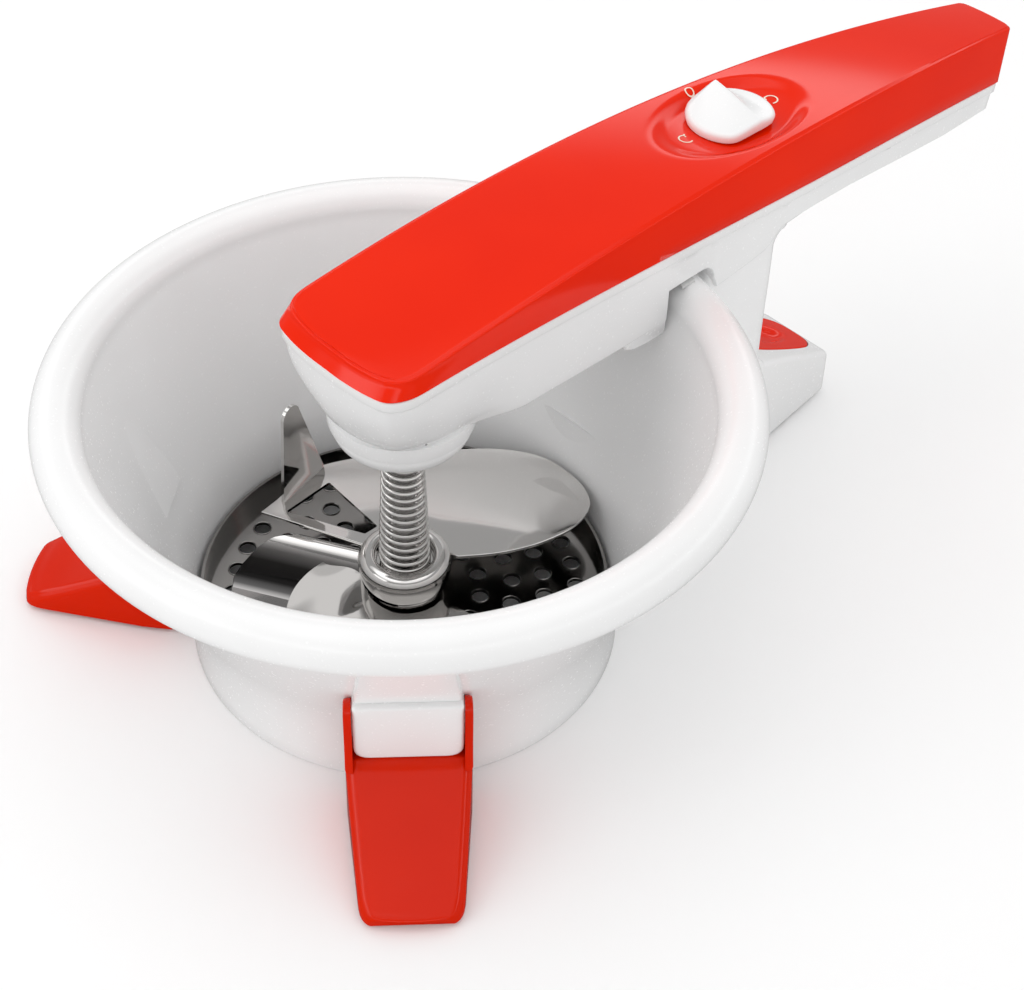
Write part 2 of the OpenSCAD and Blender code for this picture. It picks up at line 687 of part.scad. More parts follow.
module housing_solid() {
    intersection() {
        linear_extrude(200) handle_plan(body_gap, tail_x);
        translate([0, 0, 0]) across(100) polygon(concat(
            [for (i = [0:24]) let (x = -nose_x + (tail_low_x + nose_x) * i / 24) [x, seam_at(x)]],
            [[tail_low_x - 1, grip_z + 7], [tail_low_x - 7, grip_z], [pillar_x1 + 4, belly_z],
                [22, belly_z], [0, seam_z - 20], [-nose_x, seam_at(-nose_x) - 8]]));
    }
    nose_blend(0);
    // outer pillar and inner jaw
    translate([(pillar_x0 + pillar_x1) / 2, 0, rear_seat_z])
        linear_extrude(belly_z - rear_seat_z + 12) round_rect(pillar_l, pillar_w, 8);
    translate([(jaw_x0 + jaw_x1) / 2, 0, jaw_z])
        linear_extrude(belly_z - jaw_z + 6) round_rect(jaw_l, 2 * front_half_w - 5, 2);
}

module housing_room() {
    intersection() {
        translate([0, 0, belly_z + shell_t]) linear_extrude(100)
            handle_plan(shell_t, tail_low_x - shell_t);
        across(100) polygon([[-nose_x + shell_t, belly_z + shell_t], [pillar_x1, belly_z + shell_t],
            [tail_low_x - 8, grip_z + shell_t], [tail_low_x - shell_t, grip_z + 8],
            [tail_low_x - shell_t, 200], [-nose_x + shell_t, 200]]);
    }
    nose_blend(shell_t);
    // pillar, open at its foot
    translate([(pillar_x0 + pillar_x1) / 2, 0, rear_seat_z - 1])
        linear_extrude(belly_z - rear_seat_z - shell_t)
            round_rect(pillar_l - 2 * shell_t, pillar_w - 2 * shell_t, 8 - shell_t);
}

module screw_column(x, y, r, z1) translate([x, y, belly_at(x)]) cylinder(r = r, h = z1 - belly_at(x));

module handle_housing() color(white) difference() {
    union() {
        difference() {
            housing_solid();
            difference() {
                housing_room();
                // floor over the lip
                translate([jaw_x1 - shell_t, -60, slot_top - 20])
                    cube([pillar_x0 - jaw_x1 + 2 * shell_t, 120, 20 + shell_t]);
                for (p = screw_places) screw_column(p[0], p[1], screw_d * 1.3, seam_at(p[0]) - 6);
            }
        }
    }
    // slot over the lip, its outer corner rounded
    slot_l = pillar_x0 - jaw_x1;
    translate([jaw_x1, 0, 0]) across(120) {
        translate([0, 0]) square([slot_l, slot_top - 7]);
        translate([0, 0]) square([slot_l - 7, slot_top]);
        translate([slot_l - 7, slot_top - 7]) circle(7);
    }
    // screw holes with countersunk heads from below
    for (p = screw_places) {
        translate([p[0], p[1], 0]) cylinder(d = screw_d + 0.4, h = 200);
        translate([p[0], p[1], belly_at(p[0]) - 20]) cylinder(d = screw_head_d + 0.6, h = 20 + 2.5);
    }
    // seat of the collar
    translate([0, 0, collar_top - 1]) cylinder(r = socket_r + 3.2, h = 20);
    // power inlet
    translate([tail_low_x - 8, 0, grip_z + 11.5]) rotate([0, 90, 0]) cylinder(d = inlet_d - 2, h = 20);
}

module nose_collar() color(white) rotate_extrude() polygon([
    [spring_top_r + wire_d / 2 + 1.4, collar_z], [nose_r - 4, collar_z], [nose_r - 1.6, collar_z + 1.6],
    [nose_r - 0.8, collar_top], [socket_r + 2, collar_top], [socket_r + 2, shaft_top],
    [socket_r + 2, shaft_top - 0.6], [spring_top_r + wire_d / 2 + 1.4, shaft_top - 0.6]]);

module lip_pad() color(rubber) intersection() {
    rotate_extrude($fn = 128) translate([lip_mid_r - 5, bowl_h]) square([6, lip_pad_t - 0.1]);
    translate([0, -front_half_w + 3, 0]) cube([200, 2 * front_half_w - 6, 200]);
}

module cover_side(off) {
    n = 28;
    x0 = -nose_x + off;
    x1 = tail_x - off;
    low = [for (i = [0:n]) let (x = x0 + (tail_low_x - off - x0) * i / n) [x, seam_at(x)]];
    top = [for (i = [n:-1:0]) let (x = x0 + 6.5 + (x1 - x0 - 6.5) * i / n) [x, crown_at(x) - off]];
    polygon(concat(low, top));
}

module cover() color(red) difference() {
    union() {
        difference() {
            intersection() {
                linear_extrude(200) handle_plan(0, tail_x);
                across(100) cover_side(0);
            }
            intersection() {
                linear_extrude(200) handle_plan(cover_t, tail_x - cover_t);
                translate([0, 0, -0.01]) across(100) cover_side(cover_t);
            }
            // open towards the housing
            intersection() {
                linear_extrude(200) handle_plan(cover_t, tail_low_x - cover_t);
                across(100) polygon([for (i = [0:29]) i < 29
                    ? let (x = -nose_x + (tail_x + nose_x) * i / 28) [x, seam_at(x) + 1]
                    : [tail_x, 90], [-nose_x, 90]]);
            }
        }
        // screw bosses
        for (p = screw_places) intersection() {
            translate([p[0], p[1], seam_at(p[0]) - 6]) cylinder(r = screw_d * 1.3, h = 40);
            across(100) cover_side(0.5);
        }
        // floor of the dish
        intersection() {
            translate([knob_x, 0, 0]) linear_extrude(200) round_rect(dish_l + 4, dish_w + 4, dish_w / 2 + 1.9);
            across(100) cover_side(0.5);
            translate([0, -200, dish_z - cover_t]) cube([400, 400, 400]);
        }
    }
    for (p = screw_places)
        translate([p[0], p[1], 0]) cylinder(d = screw_d + 0.1, h = seam_at(p[0]) + 4);
    // dish round the knob
    intersection() {
        translate([knob_x, 0, 0]) linear_extrude(200) round_rect(dish_l, dish_w, dish_w / 2 - 0.01);
        translate([knob_x, 0, dish_z + dish_r]) rotate([90, 0, 0])
            cylinder(r = dish_r, h = 100, center = true, $fn = 128);
    }
    translate([knob_x, 0, 0]) cylinder(r = knob_stem_r + 0.1, h = 200);
}

knob_stem_r = 5;
knob_z = dish_z + 0.4 + knob_r * knob_r / (2 * dish_r);
module knob() color(white) difference() {
    union() {
        translate([knob_x, 0, knob_z]) rotate_extrude() polygon([[0, 0], [knob_r - 0.6, 0],
            [knob_r, 0.8], [knob_r - 1.2, knob_base_h * 0.7], [knob_r * 0.6, knob_base_h],
            [0, knob_base_h + 0.6]]);
        // grip: a ridge that points at O
        intersection() {
            translate([knob_x, 0, knob_z]) rotate([90, 0, 90]) linear_extrude(knob_r * 1.1, center = true)
                polygon([[-knob_r * 0.3, 1], [-knob_r * 0.1, knob_base_h + knob_grip_h * 0.5],
                    [knob_r * 0.75, knob_base_h + knob_grip_h], [knob_r, 1]]);
            translate([knob_x, 0, knob_z]) cylinder(r = knob_r, h = 40);
            translate([knob_x, 0, knob_z]) rotate([0, 0, 0]) rotate([90, 0, 0])
                linear_extrude(80, center = true) polygon([[-9, 0], [9, 0],
                    [1.2, knob_base_h + knob_grip_h + 0.1], [-1.2, knob_base_h + knob_grip_h + 0.1]]);
        }
        translate([knob_x, 0, dish_z - 12]) cylinder(r = knob_stem_r, h = 13 + knob_z - dish_z);
    }
    translate([knob_x, 0, dish_z - 13]) cylinder(d = 5.2, h = 8);
}

switch_z = dish_z - 22;
module rotary_switch() color("dimgray") {
    translate([knob_x - 11, -11, switch_z]) cube([22, 22, 9]);
    translate([knob_x, 0, switch_z + 8]) cylinder(d = 5, h = 7);
    for (y = [-7, 0, 7]) translate([knob_x - 3, y - 1, switch_z - 5]) cube([6, 2, 6]);
    // plate that carries it across the housing
    translate([knob_x - 13, -half_w_at(knob_x) + shell_t + 0.3, switch_z - 1.4])
        cube([4, 2 * (half_w_at(knob_x) - shell_t - 0.3), 1.4]);
}

// ---- motor ----

module along_x(x, y = 0, z = motor_z) translate([x, y, z]) rotate([0, 90, 0]) children();

module gear_head() color(steel) difference() {
    along_x(head_x + 2) cylinder(d = motor_d, h = head_l);
    along_x(head_x) cylinder(d = motor_shaft_d + 2 * fit, h = head_l);
}
module motor_can() color("gray") difference() {
    along_x(head_x + 2 + head_l) cylinder(d = motor_d, h = motor_l);
    along_x(head_x + head_l) cylinder(d = motor_d - 3, h = motor_l);
}
module motor_cap() color("black") {
    along_x(head_x + 2 + head_l + motor_l) cylinder(d = motor_d, h = 4);
    for (y = [-6, 6])
        translate([head_x + 6 + head_l + motor_l, y - 1, motor_z - 3]) cube([5, 2, 6]);
}
module pinion() color("gold") {
    step = 360 / pinion_n;
    along_x(face_r - 2) rotate([0, 0, 0]) linear_extrude(pinion_w) difference() {
        polygon([for (i = [0:pinion_n - 1], p = [[-0.29, -1], [-0.12, 1], [0.12, 1], [0.29, -1]])
            let (r = pinion_r + (p[1] > 0 ? tooth_add : -tooth_ded), a = step * (i + p[0]))
            [r * cos(a), r * sin(a)]]);
    }
    along_x(face_r - 2.5) cylinder(d = motor_shaft_d, h = head_x + head_l - face_r);
}
module motor_plate() color(steel) difference() {
    translate([head_x, -motor_d / 2 - 0.5, belly_z + shell_t])
        cube([2, motor_d + 1, motor_z - belly_z - shell_t + motor_d / 2 - 2]);
    along_x(head_x - 1) cylinder(d = motor_shaft_d + 4, h = 4);
}

// Round wire through the given points, with a bead over each bend.
module wire(pts, d) {
    last = len(pts) - 2;
    for (i = [0:last]) {
        v = pts[i + 1] - pts[i];
        from = i == 0 ? 0 : d / 2;
        to = i == last ? 0 : d / 2;
        translate(pts[i] + v / norm(v) * from) rotate([0, acos(v[2] / norm(v)), atan2(v[1], v[0])])
            cylinder(d = d, h = norm(v) - from - to, $fn = 16);
    }
    if (last > 0) for (i = [1:last]) translate(pts[i]) sphere(d = d * 1.7, $fn = 24);
}

module inner_wires() color("maroon") {
    back_x = head_x + 11 + head_l + motor_l;
    for (s = [-1, 1]) {
        wire([[back_x + 0.6, s * 6, motor_z], [back_x + 12, s * 12, motor_z + 4],
            [knob_x - 24, s * 12, motor_z + 4], [knob_x - 4, s * 7, switch_z - 6.2]], 1.8);
        wire([[knob_x + 4, s * 7.8, switch_z - 6.2], [tail_low_x - 18.2, s * 4.2, grip_z + 11.5]], 1.8);
    }
}

module power_inlet() color("dimgray") {
    along_x(tail_low_x - 18, 0, grip_z + 11.5) difference() {
        cylinder(d = inlet_d - 2.2, h = 17);
        translate([0, 0, 6]) cylinder(d = 5.6, h = 20);
    }
}

module cover_screws() color(steel) for (p = screw_places) {
    z0 = belly_at(p[0]);
    translate([p[0], p[1], z0 + 0.4]) cylinder(d = screw_head_d, h = 2);
    translate([p[0], p[1], z0 + 2.3]) cylinder(d = screw_d, h = seam_at(p[0]) - z0);
}

bowl();
foot(1);  // foot_left
foot(-1);  // foot_right
foot_pins();
foot_pad(1);  // foot_pad_left
foot_pad(-1);  // foot_pad_right
rear_pad();
release_button();
latch_spring();
disc();
disc_stud();
blade();
blade_wing();
scraper_finger();
blade_hub();
blade_shaft();
spring();
spring_seat();
drive_socket();
face_gear();
shaft_clip();
lower_bush();
upper_bush();
bush_bridge();
handle_housing();
nose_collar();
lip_pad();
cover();
knob();
rotary_switch();
gear_head();
motor_can();
motor_cap();
pinion();
motor_plate();
inner_wires();
power_inlet();
cover_screws();
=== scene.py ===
import math
import bmesh
import bpy
from mathutils import Matrix, Vector


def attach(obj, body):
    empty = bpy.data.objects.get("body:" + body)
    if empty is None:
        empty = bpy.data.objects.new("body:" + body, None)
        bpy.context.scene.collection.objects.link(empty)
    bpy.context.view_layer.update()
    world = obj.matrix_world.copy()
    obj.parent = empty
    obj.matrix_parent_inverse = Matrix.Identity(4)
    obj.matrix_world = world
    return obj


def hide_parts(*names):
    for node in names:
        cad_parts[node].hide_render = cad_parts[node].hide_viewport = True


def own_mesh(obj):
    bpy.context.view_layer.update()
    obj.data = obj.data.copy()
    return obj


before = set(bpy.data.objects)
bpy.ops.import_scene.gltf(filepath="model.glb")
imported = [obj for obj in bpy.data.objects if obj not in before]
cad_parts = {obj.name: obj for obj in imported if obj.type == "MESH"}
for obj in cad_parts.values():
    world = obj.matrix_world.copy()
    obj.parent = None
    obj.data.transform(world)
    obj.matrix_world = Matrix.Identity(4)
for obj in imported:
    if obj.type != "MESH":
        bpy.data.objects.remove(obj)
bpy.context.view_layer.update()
scene = bpy.context.scene
mm = 0.001  # everything below is given in millimetres and scaled once
print("frame loaded:", len(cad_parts), "nodes")


def hexColour(code):
    # sRGB hex to Blender's linear colour
    parts = [int(code[i:i + 2], 16) / 255 for i in (1, 3, 5)]
    return tuple(c / 12.92 if c <= 0.04045 else ((c + 0.055) / 1.055) ** 2.4 for c in parts) + (1.0,)


def addNode(tree, kind, settings=None, inputs=None):
    # one node with its settings; an input is a value, or a socket to link from
    node = tree.nodes.new(kind)
    for name, value in (settings or {}).items():
        setattr(node, name, value)
    for name, value in (inputs or {}).items():
        if isinstance(value, bpy.types.NodeSocket):
            tree.links.new(value, node.inputs[name])
        else:
            node.inputs[name].default_value = value
    return node


def newMaterial(name):
    material = bpy.data.materials.new(name)
    material.use_nodes = True
    tree = material.node_tree
    tree.nodes.clear()
    place = addNode(tree, "ShaderNodeTexCoord")
    return material, tree, place.outputs["Object"]


def rampOver(tree, factor, stops):
    ramp = addNode(tree, "ShaderNodeValToRGB", inputs={"Fac": factor})
    while len(ramp.color_ramp.elements) < len(stops):
        ramp.color_ramp.elements.new(0.5)
    for element, (where, colour) in zip(ramp.color_ramp.elements, stops):
        element.position = where
        element.color = colour if len(colour) == 4 else (*colour, 1.0)
    return ramp.outputs["Color"]


# Injection-moulded ABS straight from a polished tool: even colour, a clear reflection,
# and the faint long waves that cooling leaves in a thin moulded wall.
mouldedPlastic = {
    "white": {"colour": "#F5F5F5", "shade": "#F1F1F1", "roughness": 0.26, "specular": 0.5, "wave": 26, "depth": 0.012},
    "red": {"colour": "#EE2600", "shade": "#E92200", "roughness": 0.10, "specular": 0.2, "wave": 34, "depth": 0.010},
    # painted shade: the feet are the cover's red plastic made darker, standing in for the shade that falls on them
    "redFoot": {"colour": "#D62200", "shade": "#D01E00", "roughness": 0.11, "specular": 0.17, "wave": 30,
                "depth": 0.010},
    "black": {"colour": "#161617", "shade": "#1B1B1C", "roughness": 0.42, "specular": 0.5, "wave": 20, "depth": 0.012},
    "ink": {"colour": "#F7E9D8", "shade": "#F4E4D0", "roughness": 0.5, "specular": 0.3, "wave": 12, "depth": 0.001},
    "wire": {"colour": "#7A1712", "shade": "#741510", "roughness": 0.4, "specular": 0.5, "wave": 8, "depth": 0.01},
}


def mouldedAbs(name, look):
    material, tree, place = newMaterial(name)
    wave = addNode(tree, "ShaderNodeTexNoise", inputs={"Vector": place, "Scale": 1000 / look["wave"], "Detail": 1.0})
    tint = addNode(tree, "ShaderNodeTexNoise", inputs={"Vector": place, "Scale": 1000 / 60, "Detail": 2.0})
    colour = rampOver(tree, tint.outputs["Fac"], [(0.35, hexColour(look["colour"])), (0.65, hexColour(look["shade"]))])
    # the skin's grain, drawn coarser than its true 0.1 mm
    grain = addNode(tree, "ShaderNodeTexNoise", inputs={"Vector": place, "Scale": 1000 / 0.9, "Detail": 0.0})
    rough = addNode(tree, "ShaderNodeMapRange", inputs={"Value": grain.outputs["Fac"],
                    "To Min": look["roughness"] * 0.9, "To Max": look["roughness"] * 1.1})
    bump = addNode(tree, "ShaderNodeBump", inputs={"Height": wave.outputs["Fac"], "Strength": 0.25,
                   "Distance": look["depth"] * mm * 20})
    shader = addNode(tree, "ShaderNodeBsdfPrincipled",
                     inputs={"Base Color": colour, "Roughness": rough.outputs["Result"],
                     "IOR": 1.52, "Specular IOR Level": look["specular"], "Normal": bump.outputs["Normal"]})
    addNode(tree, "ShaderNodeOutputMaterial", inputs={"Surface": shader.outputs["BSDF"]})
    return material


# Stainless sheet, polished after pressing: near mirror, with fine lines left by the wheel.
steelLooks = {
    "polished": {"colour": "#DAD8D6", "roughness": 0.07, "lineGap": 0.5, "depth": 0.002},
    "satin": {"colour": "#B9B8B6", "roughness": 0.24, "lineGap": 0.6, "depth": 0.004},
    "sieve": {"colour": "#8E8C8A", "roughness": 0.12, "lineGap": 0.6, "depth": 0.003},
    # painted reflection: the same polished sheet as the blade, made darker to stand in for the dim reflection the lobe
    # shows
    "lobe": {"colour": "#A19F9D", "roughness": 0.08, "lineGap": 0.5, "depth": 0.002},
    "brass": {"colour": "#C9A455", "roughness": 0.28, "lineGap": 0.5, "depth": 0.004},
    "bronze": {"colour": "#9A6B3C", "roughness": 0.45, "lineGap": 0.4, "depth": 0.008},
    # painted reflection: the wing's colour changes with height, dark down the slope and bright along the rolled edge,
    # from low to high in millimetres
    "wing": {"roughness": 0.09, "low": 15, "high": 30, "levels": (
        (0.0, "#A3A1A0"), (0.075, "#9A9897"), (0.11, "#4A4949"), (0.2, "#1B1A1A"), (0.5, "#2A2928"), (0.72, "#6B6968"),
        (0.88, "#A9A7A5"), (0.95, "#E4E2E0"))},
}


def smearedRoughness(tree, place, roughness):
    # patches that the polishing wheel left a little duller
    smear = addNode(tree, "ShaderNodeTexNoise", inputs={"Vector": place, "Scale": 1000 / 22, "Detail": 2.0})
    rough = addNode(tree, "ShaderNodeMapRange", inputs={"Value": smear.outputs["Fac"],
                    "To Min": roughness * 0.7, "To Max": roughness * 1.35})
    return rough.outputs["Result"]


def steelSheet(name, look):
    material, tree, place = newMaterial(name)
    stretched = addNode(tree, "ShaderNodeMapping", inputs={"Vector": place, "Scale": (1.0, 14.0, 14.0)})
    lines = addNode(tree, "ShaderNodeTexNoise", inputs={"Vector": stretched.outputs["Vector"],
                    "Scale": 1000 / look["lineGap"] / 14, "Detail": 2.0})
    bump = addNode(tree, "ShaderNodeBump", inputs={"Height": lines.outputs["Fac"], "Strength": 0.2,
                   "Distance": look["depth"] * mm})
    shader = addNode(tree, "ShaderNodeBsdfPrincipled", inputs={"Base Color": hexColour(look["colour"]), "Metallic": 1.0,
                     "Roughness": smearedRoughness(tree, place, look["roughness"]), "Normal": bump.outputs["Normal"]})
    addNode(tree, "ShaderNodeOutputMaterial", inputs={"Surface": shader.outputs["BSDF"]})
    return material


def paintedReflectionSteel(name, look):
    # the wing's sheet with painted reflection: its colour is set by height, dark down the slope and bright at the
    # rolled edge
    material, tree, place = newMaterial(name)
    parts = addNode(tree, "ShaderNodeSeparateXYZ", inputs={"Vector": place})
    height = addNode(tree, "ShaderNodeMapRange", inputs={"Value": parts.outputs["Z"],
                     "From Min": look["low"] * mm, "From Max": look["high"] * mm})
    colour = rampOver(tree, height.outputs["Result"], [(where, hexColour(code)) for where, code in look["levels"]])
    shader = addNode(tree, "ShaderNodeBsdfPrincipled", inputs={"Base Color": colour, "Metallic": 1.0,
                     "Roughness": smearedRoughness(tree, place, look["roughness"])})
    addNode(tree, "ShaderNodeOutputMaterial", inputs={"Surface": shader.outputs["BSDF"]})
    return material


def softRubber(name):
    material, tree, place = newMaterial(name)
    grain = addNode(tree, "ShaderNodeTexNoise", inputs={"Vector": place, "Scale": 1000 / 0.8, "Detail": 2.0})
    bump = addNode(tree, "ShaderNodeBump",
                   inputs={"Height": grain.outputs["Fac"], "Strength": 0.3, "Distance": 0.02 * mm})
    colour = rampOver(tree, grain.outputs["Fac"], [(0.3, hexColour("#C9C9C8")), (0.7, hexColour("#D2D2D1"))])
    shader = addNode(tree, "ShaderNodeBsdfPrincipled", inputs={"Base Color": colour, "Roughness": 0.7,
                     "Normal": bump.outputs["Normal"]})
    addNode(tree, "ShaderNodeOutputMaterial", inputs={"Surface": shader.outputs["BSDF"]})
    return material


whiteAbs = mouldedAbs("white moulded ABS, gloss", mouldedPlastic["white"])
redAbs = mouldedAbs("red moulded ABS, high gloss", mouldedPlastic["red"])
# painted shade: the feet get a darker copy of the red plastic
shadedFootAbs = mouldedAbs("red moulded ABS, foot", mouldedPlastic["redFoot"])
blackAbs = mouldedAbs("black ABS, matt", mouldedPlastic["black"])
bladeSteel = steelSheet("polished stainless sheet", steelLooks["polished"])
# painted reflection on the wing, set by height
wingPaintedReflection = paintedReflectionSteel("polished stainless, swept wing, painted reflection", steelLooks["wing"])
# painted reflection: a darker copy of the polished sheet for the lobe
dimmedLobeSteel = steelSheet("polished stainless, underside of the sweep", steelLooks["lobe"])
satinSteel = steelSheet("satin zinc-plated steel", steelLooks["satin"])
sieveSteel = steelSheet("pressed stainless sieve", steelLooks["sieve"])
paleRubber = softRubber("moulded silicone rubber, pale grey")
brass = steelSheet("machined brass", steelLooks["brass"])
bronze = steelSheet("sintered bronze", steelLooks["bronze"])
printInk = mouldedAbs("pad-printed ink, cream", mouldedPlastic["ink"])
wireSkin = mouldedAbs("PVC wire skin", mouldedPlastic["wire"])
print("materials ready")

finishOfNode = {
    "bowl": whiteAbs, "foot_left": shadedFootAbs, "foot_right": shadedFootAbs, "foot_pins": satinSteel,
    "foot_pad_left": paleRubber, "foot_pad_right": paleRubber, "rear_pad": paleRubber,
    "release_button": redAbs, "latch_spring": satinSteel, "disc": sieveSteel, "disc_stud": bladeSteel,
    "blade": bladeSteel, "blade_wing": bladeSteel, "scraper_finger": bladeSteel, "blade_hub": bladeSteel,
    "blade_shaft": satinSteel, "spring": bladeSteel, "spring_seat": satinSteel, "drive_socket": satinSteel,
    "face_gear": brass, "shaft_clip": satinSteel, "lower_bush": bronze, "upper_bush": bronze,
    "bush_bridge": satinSteel, "handle_housing": whiteAbs, "nose_collar": whiteAbs, "lip_pad": paleRubber,
    "cover": redAbs, "knob": whiteAbs, "rotary_switch": blackAbs, "gear_head": satinSteel,
    "motor_can": satinSteel, "motor_cap": blackAbs, "pinion": brass, "motor_plate": satinSteel,
    "inner_wires": wireSkin, "power_inlet": blackAbs, "cover_screws": satinSteel,
}
for nodeName, finish in finishOfNode.items():
    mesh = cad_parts[nodeName].data
    mesh.materials.clear()
    mesh.materials.append(finish)


def roundedPath(points, radii, steps=5):
    # a closed outline with its corners rounded; a radius of 0 leaves the corner as it is
    out = []
    count = len(points)
    for i, point in enumerate(points):
        here = Vector(point)
        before = Vector(points[i - 1]) - here
        after = Vector(points[(i + 1) % count]) - here
        radius = radii[i] if isinstance(radii, (list, tuple)) else radii
        if radius <= 0 or before.length < 1e-9 or after.length < 1e-9:
            out.append(here)
            continue
        half = before.angle(after, math.pi) / 2
        reach = min(radius / max(math.tan(half), 1e-3), before.length * 0.48, after.length * 0.48)
        start, end = here + before.normalized() * reach, here + after.normalized() * reach
        for k in range(steps + 1):
            t = k / steps
            out.append(start * (1 - t) ** 2 + here * 2 * t * (1 - t) + end * t * t)
    return out


def makePiece(name, points, faces, material, body, stands=(), sharp=35):
    mesh = bpy.data.meshes.new(name)
    mesh.from_pydata([tuple(c * mm for c in p) for p in points], [], faces)
    return finishPiece(name, mesh, material, body, stands, sharp)


def finishPiece(name, mesh, material, body, stands=(), sharp=35):
    work = bmesh.new()
    work.from_mesh(mesh)
    bmesh.ops.remove_doubles(work, verts=work.verts, dist=1e-6)
    bmesh.ops.recalc_face_normals(work, faces=work.faces)
    work.to_mesh(mesh)
    work.free()
    mesh.polygons.foreach_set("use_smooth", [True] * len(mesh.polygons))
    mesh.materials.clear()
    mesh.materials.append(material)
    piece = bpy.data.objects.new(name, mesh)
    scene.collection.objects.link(piece)
    if sharp:
        mesh.set_sharp_from_angle(angle=math.radians(sharp))
    if body:
        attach(piece, body)
    if stands:
        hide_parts(*stands)
    return piece


def applyAll(piece):
    # the modifiers' result becomes the piece's own plain mesh
    depsgraph = bpy.context.evaluated_depsgraph_get()
    baked = bpy.data.meshes.new_from_object(piece.evaluated_get(depsgraph))
    materials = [m for m in piece.data.materials]
    piece.modifiers.clear()
    old = piece.data
    piece.data = baked
    baked.name = old.name
    if not baked.materials:
        for m in materials:
            baked.materials.append(m)
    return piece


def around(x, y, radius, degrees):
    # points on a circle, one for each angle
    return [(x + radius * math.cos(math.radians(a)), y + radius * math.sin(math.radians(a))) for a in degrees]


def revolve(profile, count=160):
    # a closed outline of radius and height, turned about the bowl's axis
    points = [(r * math.cos(2 * math.pi * i / count), r * math.sin(2 * math.pi * i / count), z)
              for i in range(count) for r, z in profile]
    n = len(profile)
    faces = [(i * n + k, ((i + 1) % count) * n + k, ((i + 1) % count) * n + (k + 1) % n, i * n + (k + 1) % n)
             for i in range(count) for k in range(n)]
    return points, faces


def softCopy(node, material, width, body, segments=3, angle=30):
    # the CAD node's own shape with its edges broken, as moulding or deburring leaves them
    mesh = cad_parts[node].data.copy()
    work = bmesh.new()
    work.from_mesh(mesh)
    bmesh.ops.remove_doubles(work, verts=work.verts, dist=2e-6)
    bmesh.ops.dissolve_limit(work, angle_limit=math.radians(0.6), verts=work.verts, edges=work.edges)
    work.to_mesh(mesh)
    work.free()
    piece = bpy.data.objects.new(node + "_dressed", mesh)
    scene.collection.objects.link(piece)
    bevel = piece.modifiers.new("edges", "BEVEL")
    bevel.width = width * mm
    bevel.segments = segments
    bevel.limit_method = "ANGLE"
    bevel.angle_limit = math.radians(angle)
    mesh.polygons.foreach_set("use_smooth", [True] * len(mesh.polygons))
    level = piece.modifiers.new("level", "WEIGHTED_NORMAL")
    level.weight = 100
    level.keep_sharp = True
    applyAll(piece)
    piece.data.materials.clear()
    piece.data.materials.append(material)
    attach(piece, body)
    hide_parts(node)
    return piece


def ease(t):
    t = min(1.0, max(0.0, t))
    return t * t * (3 - 2 * t)


def between(a, b, t):
    return a + (b - a) * t


def splineStep(a, b, c, d, t):
    # a point between b and c on a curve that also minds their neighbours
    return 0.5 * ((2 * b) + (c - a) * t + (2 * a - 5 * b + 4 * c - d) * t * t + (3 * b - a - 3 * c + d) * t ** 3)


def smoothLine(points, per=6):
    # a curve through the given points
    line = []
    pts = [Vector(p) for p in points]
    for i in range(len(pts) - 1):
        a, b, c, d = pts[max(i - 1, 0)], pts[i], pts[i + 1], pts[min(i + 2, len(pts) - 1)]
        line += [splineStep(a, b, c, d, k / per) for k in range(per)]
    line.append(pts[-1])
    return line


# Bowl: moulded in one piece, a flared wall with a curled lip and a standing ring.
bowlSet = {"lipRadius": 120, "curl": 8.5, "height": 110.5, "ring": 75.2, "wall": 3.0, "sweep": 90,
           "sweepAngle": 21.5, "ringHeight": 6, "seat": 13, "seatRadius": 67, "turns": 192}


def bowlWall(inset, upTo):
    # the sweep out of the standing ring, then the straight flare
    b = bowlSet
    middle = b["ring"] + b["sweep"]
    line = []
    for k in range(13):
        a = math.radians(b["sweepAngle"] * k / 12)
        line.append((middle - (b["sweep"] + inset) * math.cos(a), b["ringHeight"] + (b["sweep"] + inset) * math.sin(a)))
    r, z = line[-1]
    line.append((r + (upTo - z) * math.tan(math.radians(b["sweepAngle"])), upTo))
    return line


def bowlRadius(z, inset=0):
    line = bowlWall(inset, 120)
    for (r0, z0), (r1, z1) in zip(line, line[1:]):
        if z0 <= z <= z1:
            return between(r0, r1, (z - z0) / (z1 - z0))
    return line[0][0]


def makeBowl():
    b = bowlSet
    curlZ, curlR = b["height"] - b["curl"], b["lipRadius"] - b["curl"]
    inner = b["curl"] - b["wall"]

    def arc(radius, start, end, count):
        return around(curlR, curlZ, radius, [between(start, end, k / count) for k in range(count + 1)])
    outer = [(b["ring"] - 0.8, 0), (b["ring"] - 0.2, 0.25), (b["ring"], 0.9)] + bowlWall(0, curlZ - 1.4)
    under = arc(inner, 188, -28, 20)
    tip = arc(inner + b["wall"] / 2, -36, -36, 1)[:1]
    over = arc(b["curl"], -28, 176, 40)
    inside = [p for p in reversed(bowlWall(b["wall"], curlZ - 2)) if p[1] > b["seat"] + 1]
    foot = [(b["ring"] - b["wall"] - 0.5, b["seat"]), (b["seatRadius"] + 0.5, b["seat"]),
            (b["seatRadius"], b["seat"] - 0.5), (b["seatRadius"], b["seat"] - 2.6),
            (b["ring"] - b["wall"], b["seat"] - 2.6), (b["ring"] - b["wall"], 0.4), (b["ring"] - b["wall"] + 0.4, 0)]
    return revolve(outer + under + tip + over + inside + foot, b["turns"])


